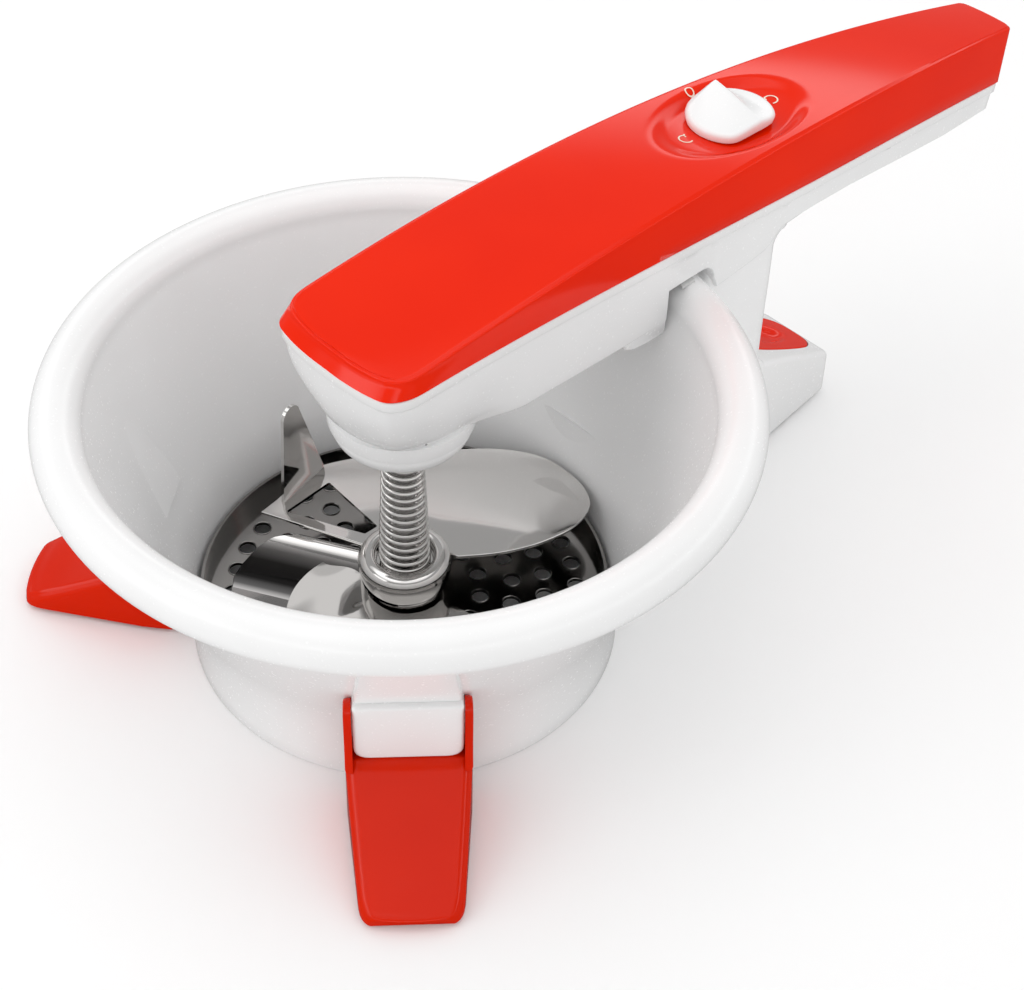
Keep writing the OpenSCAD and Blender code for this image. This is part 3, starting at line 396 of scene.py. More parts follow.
def rings(loops, capStart=True, capEnd=True):
    # closed loops of one length joined in order
    n = len(loops[0])
    points = [p for loop in loops for p in loop]
    faces = [(i * n + k, i * n + (k + 1) % n, (i + 1) * n + (k + 1) % n, (i + 1) * n + k)
             for i in range(len(loops) - 1) for k in range(n)]
    if capStart:
        faces.append(tuple(range(n - 1, -1, -1)))
    if capEnd:
        faces.append(tuple((len(loops) - 1) * n + k for k in range(n)))
    return points, faces


def prism(outline, levels):
    # a flat outline stood up through the given heights
    return rings([[(x, y, z) for x, y in outline] for z in levels])


def boxLoop(x, half, low, top):
    return [(x, -half, low), (x, half, low), (x, half, top), (x, -half, top)]


def joined(*parts):
    points, faces = [], []
    for somePoints, someFaces in parts:
        start = len(points)
        points += [tuple(p) for p in somePoints]
        faces += [tuple(start + i for i in f) for f in someFaces]
    return points, faces


def turned(part, degrees):
    c, s = math.cos(math.radians(degrees)), math.sin(math.radians(degrees))
    return [(x * c - y * s, x * s + y * c, z) for x, y, z in part[0]], part[1]


# The two blocks on the bowl that carry the feet, each with a rib that runs up under the lip.
bracketSet = {"face": 91, "width": 35.4, "low": 29, "high": 53, "corner": 5, "ribTop": 26, "ribOut": 3.0, "angle": 130}


def bracketBlock():
    g = bracketSet
    half = g["width"] / 2
    flat = [(-half, g["low"]), (half, g["low"]), (half, g["high"]), (-half, g["high"])]

    def loop(x, inset):
        pts = [(-half + inset, g["low"] + inset), (half - inset, g["low"] + inset),
               (half - inset, g["high"] - inset * 0.6), (-half + inset, g["high"] - inset * 0.6)]
        return [(x, p.x, p.y) for p in roundedPath(pts, [g["corner"], g["corner"], 1.2, 1.2])]
    edge = 1.4
    back = [(math.sqrt((bowlRadius(z) - 1.2) ** 2 - y * y), y, z) for x, y, z in loop(0, 0)]
    block = [back] + [loop(g["face"] - edge + edge * math.sin(a), edge * (1 - math.cos(a)))
                      for a in [math.radians(15 * k) for k in range(7)]]
    ribLow, ribHigh = g["high"] - 6, 100

    def ribLoop(out, inset):
        low, high = half - inset, g["ribTop"] / 2 - inset
        return [(math.sqrt((bowlRadius(z) + out) ** 2 - y * y), y, z)
                for y, z in ((-low, ribLow), (low, ribLow), (high, ribHigh), (-high, ribHigh))]
    rib = [ribLoop(-2, 0), ribLoop(g["ribOut"] - 1.0, 0), ribLoop(g["ribOut"] - 0.3, 0.4), ribLoop(g["ribOut"], 1.1)]
    return joined(rings(block), rings(rib))


# The hollow block under the handle, on which its pillar stands.
legSet = {"end": 208, "rootHalf": 23.5, "tipHalf": 18.4, "seatX": 158.6, "seatZ": 46, "slopeTop": 45, "tipZ": 20,
          "base": 1.6, "wall": 2.6, "roof": 9}


def legTop(x):
    g = legSet
    return g["seatZ"] if x <= g["seatX"] else between(g["slopeTop"], g["tipZ"],
                                                      (x - g["seatX"]) / (g["end"] - g["seatX"]))


def legHalf(x):
    g = legSet
    share = max(0.0, x - g["seatX"]) / (g["end"] - 4 - g["seatX"])
    return between(g["rootHalf"], g["tipHalf"] - 1, share)


def rearLeg():
    g = legSet

    def section(x, shrink):
        w, top, low = legHalf(min(x, g["end"] - 4)) - shrink, legTop(x) - shrink * 0.7, g["base"] + shrink * 0.4
        loop = roundedPath([(-w, low), (w, low), (w, top), (-w, top)], [1.0, 1.0, 2.2, 2.2], 4)
        return [(x, p.x, p.y) for p in loop]
    stops = [(110, 0), (g["seatX"] - 0.6, 0), (g["seatX"] + 0.3, 0.05), (g["seatX"] + 1.5, 0), (180, 0),
             (g["end"] - 3, 0)]
    for a in (18, 36, 54, 72, 84):
        stops.append((g["end"] - 3 + 3 * math.sin(math.radians(a)), 2.6 * (1 - math.cos(math.radians(a)))))
    root = [(math.sqrt((bowlRadius(z) - 1.2) ** 2 - y * y), y, z) for x, y, z in section(100, 0)]
    return rings([root] + [section(x, s) for x, s in stops])


def partMesh(part, weld=False):
    # one closed shape as a mesh, its faces turned outward
    mesh = bpy.data.meshes.new("part")
    mesh.from_pydata([tuple(c * mm for c in p) for p in part[0]], [], part[1])
    work = bmesh.new()
    work.from_mesh(mesh)
    if weld:
        bmesh.ops.remove_doubles(work, verts=work.verts, dist=1e-6)
    bmesh.ops.recalc_face_normals(work, faces=work.faces)
    work.to_mesh(mesh)
    work.free()
    return mesh


def addParts(mesh, parts, weld=False, turn=0):
    # closed shapes set beside what the mesh holds, then all of it turned about the bowl's axis
    work = bmesh.new()
    work.from_mesh(mesh)
    for part in parts:
        work.from_mesh(partMesh(part, weld))
    if turn:
        work.transform(Matrix.Rotation(math.radians(turn), 4, "Z"))
    work.to_mesh(mesh)
    work.free()


def takeMesh(piece):
    # the mesh of a piece that was only a step on the way
    mesh = piece.data
    bpy.data.objects.remove(piece)
    return mesh


def cutAway(piece, cutters):
    for part in cutters:
        cutter = bpy.data.objects.new("cutter", partMesh(part))
        scene.collection.objects.link(cutter)
        cut = piece.modifiers.new("cut", "BOOLEAN")
        cut.operation = "DIFFERENCE"
        cut.solver = "EXACT"
        cut.object = cutter
        cut.use_self = len(piece.data.polygons) < 12000  # the slow test, kept off the dense cover
        cut.use_hole_tolerant = not cut.use_self
        applyAll(piece)
        bpy.data.objects.remove(cutter)


# Rear insert: the red dished button that lies in the leg's slope, and the spring under it.
buttonSet = {"middle": 184.5, "gap": 0.3, "deep": 6.7, "thick": 3.3, "proud": 0.25,
             "scoopX": 183, "scoopHalfX": 14.5, "scoopHalfY": 8.8, "scoopDeep": 2.6,
             "half": ((163.5, 10.2), (164.4, 11.6), (168, 12.9), (176, 13.5), (185, 13.5), (193, 13.1), (199, 12.0),
                      (203, 9.4), (205, 5.8), (205.5, 1.6)),
             "springX": 181, "springFloor": 25.95, "springHeld": 0.62, "springPressed": 0.15}


def buttonPlan(grow):
    # lens-shaped outline of the rear insert, widest in its middle
    g = buttonSet
    half = [Vector((g["half"][0][0], 0.0))] + smoothLine(g["half"], 4) + [Vector((g["half"][-1][0], 0.0))]
    line = [(p.x, p.y) for p in half] + [(p.x, -p.y) for p in reversed(half[1:-1])]
    return [(g["middle"] + (x - g["middle"]) * (1 + grow / 21), y * (1 + grow / 12)) for x, y in line]


def makeButton():
    g = buttonSet
    plan = buttonPlan(0)

    def top(x, y):
        bowl = 1 - math.hypot((x - g["scoopX"]) / g["scoopHalfX"], y / g["scoopHalfY"])
        return legTop(max(x, legSet["seatX"] + 0.01)) - g["scoopDeep"] * ease(bowl / 0.55) if bowl > 0 else legTop(x)
    steps = [k / 26 for k in range(1, 26)] + [0.975, 0.99, 1.0]
    loops = []
    for t in [0.002] + steps:
        row = [(g["middle"] + (x - g["middle"]) * t, y * t) for x, y in plan]
        soft = {1.0: 0.45, 0.99: 0.12}.get(t, 0.0)  # the rim's rounding
        loops.append([(x, y, top(x, y) + g["proud"] - soft) for x, y in row])
    loops.append([(x, y, legTop(x) + g["proud"] - g["thick"]) for x, y in plan])
    return rings(loops)


legPiece = makePiece("rearLeg", *rearLeg(), whiteAbs, None, sharp=None)
hollow = [boxLoop(x, legHalf(x) - legSet["wall"], 0.5, legTop(x) - legSet["roof"]) for x in (86, 150, 196)]
well = [[(x, y, legTop(x) + rise) for x, y in buttonPlan(buttonSet["gap"])] for rise in (-buttonSet["deep"], 14)]
cutAway(legPiece, [rings(well), rings(hollow)])
addParts(legPiece.data, [makeBowl()] + [turned(bracketBlock(), s * bracketSet["angle"]) for s in (-1, 1)])
bowlPiece = finishPiece("bowlMoulding", takeMesh(legPiece), whiteAbs, "mill", ["bowl"], 40)
print("bowl made:", len(bowlPiece.data.polygons), "faces")

# Cover: a long crowned lid with a crisp ridge, leaning sides and a dish round the knob.
coverSet = {"nose": -31.5, "tailTop": 301.5, "tailLow": 297, "frontHalf": 30.5, "tailHalf": 14, "lean": 1.5,
            "ridge": 0.9, "crown": 147.3, "crownX": 108, "crownR": 1020, "seam": 133, "seamX": 30, "seamR": 1660,
            "seamDrop": 5.2, "gap": 0.3, "wall": 2.4, "stations": 260, "across": 56, "dishX": 152, "dishHalfX": 37,
            "dishHalfY": 21.3, "dishDepth": 3.6, "dishR": 215, "stemHole": 5.2}


def crownAt(x):
    return coverSet["crown"] - (x - coverSet["crownX"]) ** 2 / (2 * coverSet["crownR"])


def seamAt(x):
    c = coverSet
    return c["seam"] - (x - c["seamX"]) ** 2 / (2 * c["seamR"]) - c["seamDrop"] * ease((x + 10) / 210)


def halfAt(x):
    s = max(0.0, (x - 10) / (coverSet["tailTop"] - 10))
    return coverSet["frontHalf"] - (coverSet["frontHalf"] - coverSet["tailHalf"]) * s * s


def planOf(inset, noseX, tailX, stations):
    # half outline from the nose's middle along the +y side to the tail's middle
    half = coverSet["frontHalf"] - inset
    front, start, end = noseX + inset, noseX + 20, tailX - inset
    corner = [Vector(p) for p in ((front, 0), (front + 0.1, half * 0.3), (front + 1.2, half * 0.62),
                                  (front + 3.6, half * 0.86), (noseX + 10.5, half - 0.5), (start, half))]
    curve = []
    for i in range(len(corner) - 1):
        before = corner[i - 1] if i else Vector((front + 0.1, -corner[1].y))  # the outline is mirrored at the nose
        after = corner[min(i + 2, len(corner) - 1)]
        curve += [splineStep(before, corner[i], corner[i + 1], after, k / 5) for k in range(5)]
    side = []
    for k in range(stations + 1):
        x = between(start, end - 2.2, k / stations)
        side.append(Vector((x, halfAt(x) - inset)))
    endHalf = halfAt(end) - inset
    tail = [Vector(p) for p in ((end - 1.3, endHalf - 0.25), (end - 0.45, endHalf - 0.95), (end, endHalf - 2.4),
                                (end, endHalf * 0.5), (end, 0.0))]
    return curve + side + tail


def dishDrop(x, y):
    # how far the dish lies under the crown at this place
    c = coverSet
    rim = 1 - math.hypot((x - c["dishX"]) / c["dishHalfX"], y / c["dishHalfY"])
    return (c["dishDepth"] - (x - c["dishX"]) ** 2 / (2 * c["dishR"])) * ease(rim / 0.27) if rim > 0 else 0.0


def mirrored(half):
    # a half outline becomes a closed loop
    return half + [(x, -y, z) for x, y, z in reversed(half[1:-1])]


def makeCover():
    c = coverSet

    def lowPlan(inset):
        return planOf(inset, c["nose"], c["tailLow"], c["stations"])

    def topPlan(inset, tail):
        return planOf(inset, c["nose"] + 2.0, tail, c["stations"])

    def loop(plan, heights):
        return mirrored([(p.x, p.y, z) for p, z in zip(plan, heights)])
    rows = []
    tail = c["tailTop"] + c["lean"] - 0.2
    low, top, innerTop = lowPlan(0), topPlan(c["lean"], tail), topPlan(c["wall"] + c["lean"], c["tailTop"])
    zLow = [seamAt(p.x) + c["gap"] for p in low]
    rows.append(loop(innerTop, [crownAt(p.x) - c["wall"] - 1.2 for p in innerTop]))
    rows.append(loop(lowPlan(c["wall"]), zLow))
    rows.append(loop(lowPlan(0.35), zLow))
    rows.append(loop(low, [z + 0.35 for z in zLow]))
    for t in (0.25, 0.5, 0.75, 1.0):
        rows.append(mirrored([(between(a.x, b.x, t), between(a.y, b.y, t),
                               between(seamAt(a.x) + c["gap"] + 0.35, crownAt(b.x) - 1.6, t))
                              for a, b in zip(low, top)]))
    for k in range(1, 6):
        a = math.radians(90 * k / 5)
        plan = topPlan(c["lean"] + c["ridge"] * (1 - math.cos(a)), tail)
        rows.append(loop(plan, [crownAt(p.x) - 1.6 + c["ridge"] * math.sin(a) for p in plan]))
    edge = topPlan(c["lean"] + c["ridge"], tail)
    for k in range(1, c["across"] + 1):
        f = 1 - k / c["across"]
        rows.append(mirrored([(p.x, p.y * f, crownAt(p.x) - 0.3 + 0.3 * (1 - f * f) - dishDrop(p.x, p.y * f))
                              for p in edge]))
    n = len(rows[0])
    points, faces = rings(rows, capStart=False, capEnd=False)
    start = len(points)
    points = points + [(x, 0.0, z) for x, y, z in rows[0]]  # the inner roof closes on the middle line
    faces += [(k, start + k, start + (k + 1) % n, (k + 1) % n) for k in range(n)]
    return points, faces


coverPiece = makePiece("coverShell", *makeCover(), redAbs, "mill", ["cover"], 50)
print("cover made:", len(coverPiece.data.polygons), "faces")


def along(table, x):
    if x <= table[0][0]:
        return table[0][1]
    for (x0, v0), (x1, v1) in zip(table, table[1:]):
        if x <= x1:
            return between(v0, v1, (x - x0) / (x1 - x0))
    return table[-1][1]


stemHole = around(coverSet["dishX"], 0, coverSet["stemHole"], [7.5 * k + 2.3 for k in range(48)])
cutAway(coverPiece, [prism(stemHole, (120, 160))])
coverPiece.data.set_sharp_from_angle(angle=math.radians(50))

# Housing: the white lower half of the handle, its nose drawn in to the collar over the blade.
housingSet = {"band": 3.6, "groove": 0.35, "waist": 0.9, "noseRadius": 25.2, "wall": 2.4, "tuck": 0.4,
              "slot": (96.2, 120.6),
              "slotTop": 112.0, "slotRound": 6.5, "noseBlend": (2, 30), "tailBlend": (230, 292), "tailLean": 1.6,
              "spineEnd": 285.0,
              "bottom": ((-31, 99.5), (110, 99.5), (150, 102), (158, 107.2), (177, 106.6), (197, 105.0), (216, 102.4),
                         (240, 98.9), (262, 95.7), (292, 93.4)),
              "edge": ((-31, 3.0), (40, 2.6), (80, 1.2), (140, 1.2), (190, 5.0), (292, 5.0)),
              "screws": ((27, -19), (27, 19), (196, 0), (240, 0)),
              "screwLine": ((0.0, 0.5), (0.5, 0.5), (0.55, 0.02), (2.2, 0.0), (2.65, 0.25), (2.8, 0.7), (2.8, 2.2),
                            (1.5, 2.3), (1.5, 9.0), (0.0, 9.0)),
              "screwWell": 3.15, "screwHole": 1.75, "inlet": 106.0, "inletHole": 5.55}


def housingBottom(x, spread=0.0):
    h = housingSet
    low, high = h["slot"][0] - spread, h["slot"][1] + spread
    base = along(h["bottom"], x)
    if x <= low or x >= high:
        return base
    inward = high - x
    if inward < h["slotRound"]:
        q = h["slotRound"] - inward
        return h["slotTop"] - h["slotRound"] + math.sqrt(max(0.0, h["slotRound"] ** 2 - q * q))
    return h["slotTop"]


def towardSpine(x, y, step):
    # the nearest place on the handle's middle line, and the share left of the way out when a step is taken in
    spine = min(max(x, 0.0), housingSet["spineEnd"])
    d = math.hypot(x - spine, y)
    return spine, max(0.0, d - step) / d if d > 1e-6 else 1.0


def makeHousing():
    h = housingSet
    nose, tail = coverSet["nose"], coverSet["tailLow"]

    def plan():
        # half outline with stations packed round the slot
        base = planOf(h["tuck"], nose, tail, 120)
        front = [p for p in base if p.x <= h["slot"][0] - 3]
        back = [p for p in base if p.x >= h["slot"][1] + 3]
        low, high = h["slot"]
        marks = [low - 2.45, low - 2.4, low - 0.05, low, low + 0.05, low + 6, low + 12]
        marks += [high - h["slotRound"] * (1 - math.sin(math.radians(a))) for a in range(0, 90, 10)]
        marks += [high - 0.05, high, high + 2.4, high + 2.45]
        return front + [Vector((x, halfAt(x) - h["tuck"])) for x in marks] + back

    def place(p, f, floor, top):
        # the point's way down from the seam to the belly
        x, y = p.x, p.y
        start, end = h["noseBlend"]
        if x < end:
            angle = math.atan2(y, x if abs(x) > 1e-6 or y else -1)
            r = h["noseRadius"]
            w = f ** 2.4 * (1 - ease((x - start) / (end - start)))
            x, y = between(x, r * math.cos(angle), w), between(y, r * math.sin(angle), w)
        start, end = h["tailBlend"]
        if x > start:
            x -= h["tailLean"] * f * ease((x - start) / (end - start))
        return x, y, between(top, floor, f)

    rows = []

    def row(inset, drop=None, f=None, spread=0.0, extra=0.0, gather=1.0):
        # one loop, a fixed drop below the seam or at the share f of the way to the belly
        pts = []
        for p in plan():
            seam = seamAt(p.x) - 0.15
            floor = housingBottom(p.x, spread) + extra
            part = f if drop is None else min(drop / max(seam - floor, 1.0), 0.9)
            x, y, z = place(p, part, floor, seam)
            spine, k = towardSpine(x, y, inset)
            pts.append((spine + (x - spine) * k * gather, y * k * gather, z))
        return mirrored(pts)
    wall = h["wall"]
    # inside from the floor's middle up to the seam, then outside down to the belly's middle
    for g in (0.0, 0.5, 1.0):
        rows.append(row(wall + 2.2, f=1.0, spread=wall, extra=wall, gather=g))
    for f in (0.96, 0.6):
        rows.append(row(wall + 0.9, f=f, spread=wall, extra=wall))
    band, waist = h["band"], h["waist"]
    for inset, drop in ((wall + 0.2, 5.5), (wall, 0.0), (0.25, 0.0), (0.0, 0.3), (0.0, band - 0.25), (0.12, band),
                        (waist + h["groove"], band + 0.15), (waist + h["groove"], band + 0.7), (waist, band + 1.0)):
        rows.append(row(inset, drop=drop))
    for f in (0.3, 0.42, 0.54, 0.66, 0.76, 0.84):
        rows.append(row(waist + 0.5 * f, f=f))
    for k in range(7):
        rows.append(roundedRow(row, waist + 0.5, math.radians(15 * k)))
    for gather in (0.6, 0.3, 0.0):
        rows.append(row(waist + 0.5, f=1.0, gather=gather))
    return rings(rows, capStart=False, capEnd=False)


def roundedRow(row, inset, a):
    # one step round the lower edge, whose radius changes along the handle
    made = []
    for x, y, z in row(inset, f=1.0):
        edge = along(housingSet["edge"], x)
        spine, k = towardSpine(x, y, edge * (1 - math.cos(a)))
        made.append((spine + (x - spine) * k, y * k, z + edge * (1 - math.sin(a))))
    return made


def makeScrews():
    # four pan heads sunk in the underside, each with a small centre recess
    bodies = []
    for x, y in housingSet["screws"]:
        low = along(housingSet["bottom"], x) + 0.5
        points, faces = revolve([(r, low + up) for r, up in housingSet["screwLine"]], 32)
        bodies.append(([(px + x, py + y, pz) for px, py, pz in points], faces))
    return joined(*bodies)


makePiece("coverScrews", *makeScrews(), satinSteel, "mill", ["cover_screws"], 40)


def roundPrism(x, y, radius, low, high, count=48):
    return prism(around(x, y, radius, [360 * k / count for k in range(count)]), (low, high))


# Pillar: the post between the rear leg and the grip.
pillarSet = {"front": 120.6, "back": 157.6, "foot": 46.3, "flareFrom": 100, "flareUp": 7.5, "flareOut": 6.5,
             "halfLow": 24.0, "halfHigh": 24.4, "top": 109}


def makePillar():
    # it stands on the leg and swells into the grip behind it
    g = pillarSet
    flare = [g["flareFrom"] + g["flareUp"] * math.sin(math.radians(a)) for a in (15, 30, 45, 60, 75, 88)]
    loops = []
    for z in [g["foot"], g["foot"] + 0.6, 50, 60, 70, 80, 90, g["flareFrom"]] + flare + [g["top"]]:
        right = g["back"] + 0.3 * (z - 46) / 38
        if z > g["flareFrom"]:
            s = min(1.0, (z - g["flareFrom"]) / g["flareUp"])
            right = g["back"] + 0.3 + g["flareOut"] * (1 - math.sqrt(max(0.0, 1 - s * s)))
        inset = 0.5 if z < g["foot"] + 0.2 else 0.0
        half = between(g["halfLow"], g["halfHigh"], ease((z - 60) / 30)) - inset
        left, right = g["front"] + inset, right - inset
        loop = roundedPath([(left, -half), (right, -half), (right, half), (left, half)], [3.0, 7.0, 7.0, 3.0], 6)
        loops.append([(p.x, p.y, z) for p in loop])
    return rings(loops)


# Jaw: the block that grips the lip from inside, with a scooped side.
jawSet = {"side": ((74.6, 104), (74.6, 101.5), (76.5, 97.5), (80.5, 95.6), (86, 95), (95.2, 95), (96.2, 96),
                   (96.2, 104)), "middle": (86, 100), "half": 27.4, "edge": 0.6}


def makeJaw():
    g = jawSet
    half, edge = g["half"], g["edge"]
    loops = []
    for y, inset in ((-half, edge), (-half + 0.5, 0.0), (half - 0.5, 0.0), (half, edge)):
        loops.append([(between(x, g["middle"][0], inset / 11), y, between(z, g["middle"][1], inset / 5))
                      for x, z in g["side"]])
    return rings(loops)


# The round foot of the nose, and the collar under it: radius and height.
skirtLine = [(25.15, 101.5), (25.1, 99.6), (24.9, 97), (24.6, 95.5), (24.2, 95.15), (16.4, 95.15), (16.4, 101.5)]
collarLine = [(7.9, 88.0), (19.6, 88.0), (20.6, 88.25), (21.6, 89.0), (22.6, 90.4), (23.4, 92.2), (23.9, 94.2),
              (23.7, 94.75), (23.2, 94.95), (8, 94.95), (7.9, 94.5)]


housingPiece = makePiece("housingShell", *makeHousing(), whiteAbs, None, sharp=None)
holes = [roundPrism(0, 0, 16.5, 90, 112)]
holes += [roundPrism(x, y, housingSet["screwWell"], 80, along(housingSet["bottom"], x) + 2.5 + 0.001 * i)
          for i, (x, y) in enumerate(housingSet["screws"])]
holes += [roundPrism(x, y, housingSet["screwHole"], 80, 112, 24) for x, y in housingSet["screws"]]
cutAway(housingPiece, holes)
inletCircle = around(0, housingSet["inlet"], housingSet["inletHole"], range(0, 360, 9))
inletHole = rings([[(x, y, z) for y, z in inletCircle] for x in (278, 300)])
cutAway(housingPiece, [inletHole])
cutAway(coverPiece, [inletHole])  # the socket's ring spans the seam
coverPiece.data.set_sharp_from_angle(angle=math.radians(50))
addParts(housingPiece.data, (makePillar(), makeJaw(), revolve(skirtLine, 120)), weld=True)
housingPiece = finishPiece("housingShell", takeMesh(housingPiece), whiteAbs, "mill", ["handle_housing"], 35)
makePiece("noseRing", *revolve(collarLine, 144), whiteAbs, "mill", ["nose_collar"], 35)
print("housing made:", len(housingPiece.data.polygons), "faces")


# Knob: a low disc with half a ridge that points at the O.
knobSet = {"x": 152, "radius": 15.9, "lift": 1.35, "disc": 3.3, "peak": 10.0, "crestX": 3.0, "flat": 12.2,
           "crestFrom": 10.5, "crestLow": 4.4, "edgeHeight": 3.2, "crown": 1.1, "rim": 0.9, "rimDrop": 1.5,
           "stem": 5.0, "stemBore": 2.62, "stemDown": 12}


def knobReach(angle):
    # round, with a flat on the side away from the O
    g = knobSet
    flat = -g["flat"] / min(-1e-6, math.sin(angle))
    return (g["radius"] ** -14 + flat ** -14) ** (-1 / 14)


def fieldDisc(x, y, base, height, circles, spokes):
    # a piece whose top follows height(u, v), with a flat underside
    points = [(x, y, base + height(0, 0, 0))]
    faces = []
    for i in range(1, circles + 1):
        for k in range(spokes):
            angle = 2 * math.pi * k / spokes
            r = knobReach(angle) * i / circles
            u, v = r * math.cos(angle), r * math.sin(angle)
            points.append((x + u, y + v, base + height(u, v, i / circles)))
    for k in range(spokes):
        faces.append((0, 1 + k, 1 + (k + 1) % spokes))
    for i in range(circles - 1):
        a, b = 1 + i * spokes, 1 + (i + 1) * spokes
        faces += [(a + k, b + k, b + (k + 1) % spokes, a + (k + 1) % spokes) for k in range(spokes)]
    top = 1 + (circles - 1) * spokes
    low = len(points)
    reach = [(2 * math.pi * k / spokes, knobReach(2 * math.pi * k / spokes) - 0.5) for k in range(spokes)]
    points += [(x + r * math.cos(a), y + r * math.sin(a), base) for a, r in reach]
    faces += [(top + k, low + k, low + (k + 1) % spokes, top + (k + 1) % spokes) for k in range(spokes)]
    faces.append(tuple(low + k for k in range(spokes - 1, -1, -1)))
    return points, faces


def knobHeight(u, v, r):
    g = knobSet
    disc = g["disc"] + g["crown"] * (1 - r * r)
    down = g["crestFrom"] - v
    if down < 0:
        crest = g["peak"] - (-down) ** 1.15
    else:
        crest = between(g["peak"], g["crestLow"], ease(down / 24) * 0.35 + min(1.0, down / 21) * 0.65)
    edge = math.sqrt(max(0.0, g["radius"] ** 2 - v * v))
    if u < g["crestX"]:
        s = (g["crestX"] - u) / (g["crestX"] + edge + 0.01)
        ridge = crest - (crest - g["edgeHeight"]) * max(0.0, s - 0.04) ** 1.25
    else:
        ridge = disc + max(0.0, crest - disc) * (1 - min(1.0, (u - g["crestX"]) / 7.0)) ** 1.9
    height = max(disc, ridge)
    rim = max(0.0, (r - g["rim"]) / (1 - g["rim"]))
    return height - g["rimDrop"] * (1 - math.sqrt(max(0.0, 1 - rim * rim))) if rim else height


dishFloor = crownAt(coverSet["dishX"]) - coverSet["dishDepth"]
knobTop = fieldDisc(knobSet["x"], 0, dishFloor + knobSet["lift"], knobHeight, 56, 144)
stemFoot = dishFloor - knobSet["stemDown"]
stemLine = [(knobSet["stemBore"], stemFoot), (knobSet["stem"] - 0.2, stemFoot), (knobSet["stem"], stemFoot + 0.2),
            (knobSet["stem"], dishFloor + 2.2), (knobSet["stemBore"], dishFloor + 2.2)]
stem = revolve(stemLine, 48)
knobStem = [(x + knobSet["x"], y, z) for x, y, z in stem[0]], stem[1]
makePiece("knobGrip", *joined(knobTop, knobStem), whiteAbs, "dial", ["knob"], 55)


def coverTop(x, y):
    return crownAt(x) - dishDrop(x, y)


def ribbon(path, width, lift=0.13):
    # a printed stroke laid on the cover
    points, faces = [], []
    line = [Vector(p) for p in path]
    for i, p in enumerate(line):
        ahead, behind = line[min(i + 1, len(line) - 1)], line[max(i - 1, 0)]
        side = (ahead - behind).normalized()
        side = Vector((-side.y, side.x)) * width / 2
        for q in (p + side, p - side):
            points.append((q.x, q.y, coverTop(q.x, q.y) + lift))
    faces = [(2 * i, 2 * i + 1, 2 * i + 3, 2 * i + 2) for i in range(len(line) - 1)]
    return points, faces


def arcPath(x, y, radius, start, end, count=40):
    return around(x, y, radius, [between(start, end, k / count) for k in range(count + 1)])


# Marks: an O and two turning arrows printed round the knob.
markSet = {"stroke": 0.55, "round": (152.3, 19.9), "roundRadius": 1.6, "left": (131.0, 1.3), "right": (174.0, 0.4),
           "radius": 2.4}


def makeMarks():
    g = markSet
    strokes = [ribbon(arcPath(*g["round"], g["roundRadius"], 0, 360), g["stroke"])]
    for (x, y), start, end in ((g["left"], 60, 300), (g["right"], 120, -120)):
        strokes.append(ribbon(arcPath(x, y, g["radius"], start, end), g["stroke"]))
        tip = arcPath(x, y, g["radius"], start, start, 1)[0]
        strokes.append(ribbon([(tip[0] + 0.9, tip[1] + 0.5), tip], g["stroke"]))
        strokes.append(ribbon([(tip[0] - 0.1, tip[1] - 1.2), tip], g["stroke"]))
    return joined(*strokes)


makePiece("dialMarks", *makeMarks(), printInk, "mill", [], None)

# Feet: a tapering shell with a wide bevel, two cheeks rising beside the block.
footSet = {"heel": 80, "root": 91, "tip": 134.6, "rootHalf": 20.4, "tipHalf": 16.4, "rootTop": 28.8, "tipTop": 6.5,
           "base": 1.6, "bevel": 3.0, "bevelDrop": 1.7, "bowFrom": 118, "bow": 2.2, "cheek": 2.55, "wall": 2.4,
           "pinX": 87.8, "pinZ": 49, "clear": 20.35,
           "hollow": ((82.5, 20.5), (92, 20.0), (114.5, 11.5)), "padFrom": 17, "padTo": 1.6, "padHalf": 11.8}


def footTop(x):
    f = footSet
    if x <= f["root"]:
        return f["rootTop"]
    return between(f["rootTop"], f["tipTop"], ((x - f["root"]) / (f["tip"] - 2.5 - f["root"])) ** 0.96)


def footHalf(x):
    f = footSet
    return f["rootHalf"] if x <= f["root"] else between(f["rootHalf"], f["tipHalf"],
                                                        (x - f["root"]) / (f["tip"] - f["root"]))


def footSolid():
    f = footSet

    def section(x, low, shrink=0.0, drop=0.0):
        w, top = footHalf(min(x, f["tip"] - 4)) - shrink, footTop(min(x, f["tip"] - 2.5)) - drop
        b, d = f["bevel"], f["bevelDrop"]
        right = [(w, low + 0.4), (w, max(low + 0.5, top - d - 2.2)), (w - 0.12, top - d - 0.9), (w - 0.5, top - d),
                 (w - b + 0.7, top - 0.25), (w - b, top - 0.03), (w - b - 0.8, top)]
        inner = [((w - b - 0.8) * k / 5, top) for k in range(4, 0, -1)]
        half = [(w - 0.4, low)] + right + inner
        return [(x, y, z) for y, z in half] + [(x, 0.0, top)] + [(x, -y, z) for y, z in reversed(half)]
    loops = [section(f["heel"], f["base"], 0.6, 0.6), section(f["heel"] + 0.6, f["base"]),
             section(f["root"] - 0.5, f["base"])]
    for k in range(0, 12):
        x = between(f["root"] + 0.4, f["tip"] - 6, k / 11)
        loops.append(section(x, f["base"]))
    for a in (15, 30, 45, 60, 72, 84):
        s, c = math.sin(math.radians(a)), 1 - math.cos(math.radians(a))
        loops.append(section(f["tip"] - 6 + 6 * s, f["base"], 3.4 * c, 1.9 * c))

    def bow(x, y):
        # the tip is bowed outward in plan
        return x + f["bow"] * ease((x - f["bowFrom"]) / (f["tip"] - f["bowFrom"])) * (1 - (y / f["tipHalf"]) ** 2)
    return rings([[(bow(x, y), y, z) for x, y, z in loop] for loop in loops])


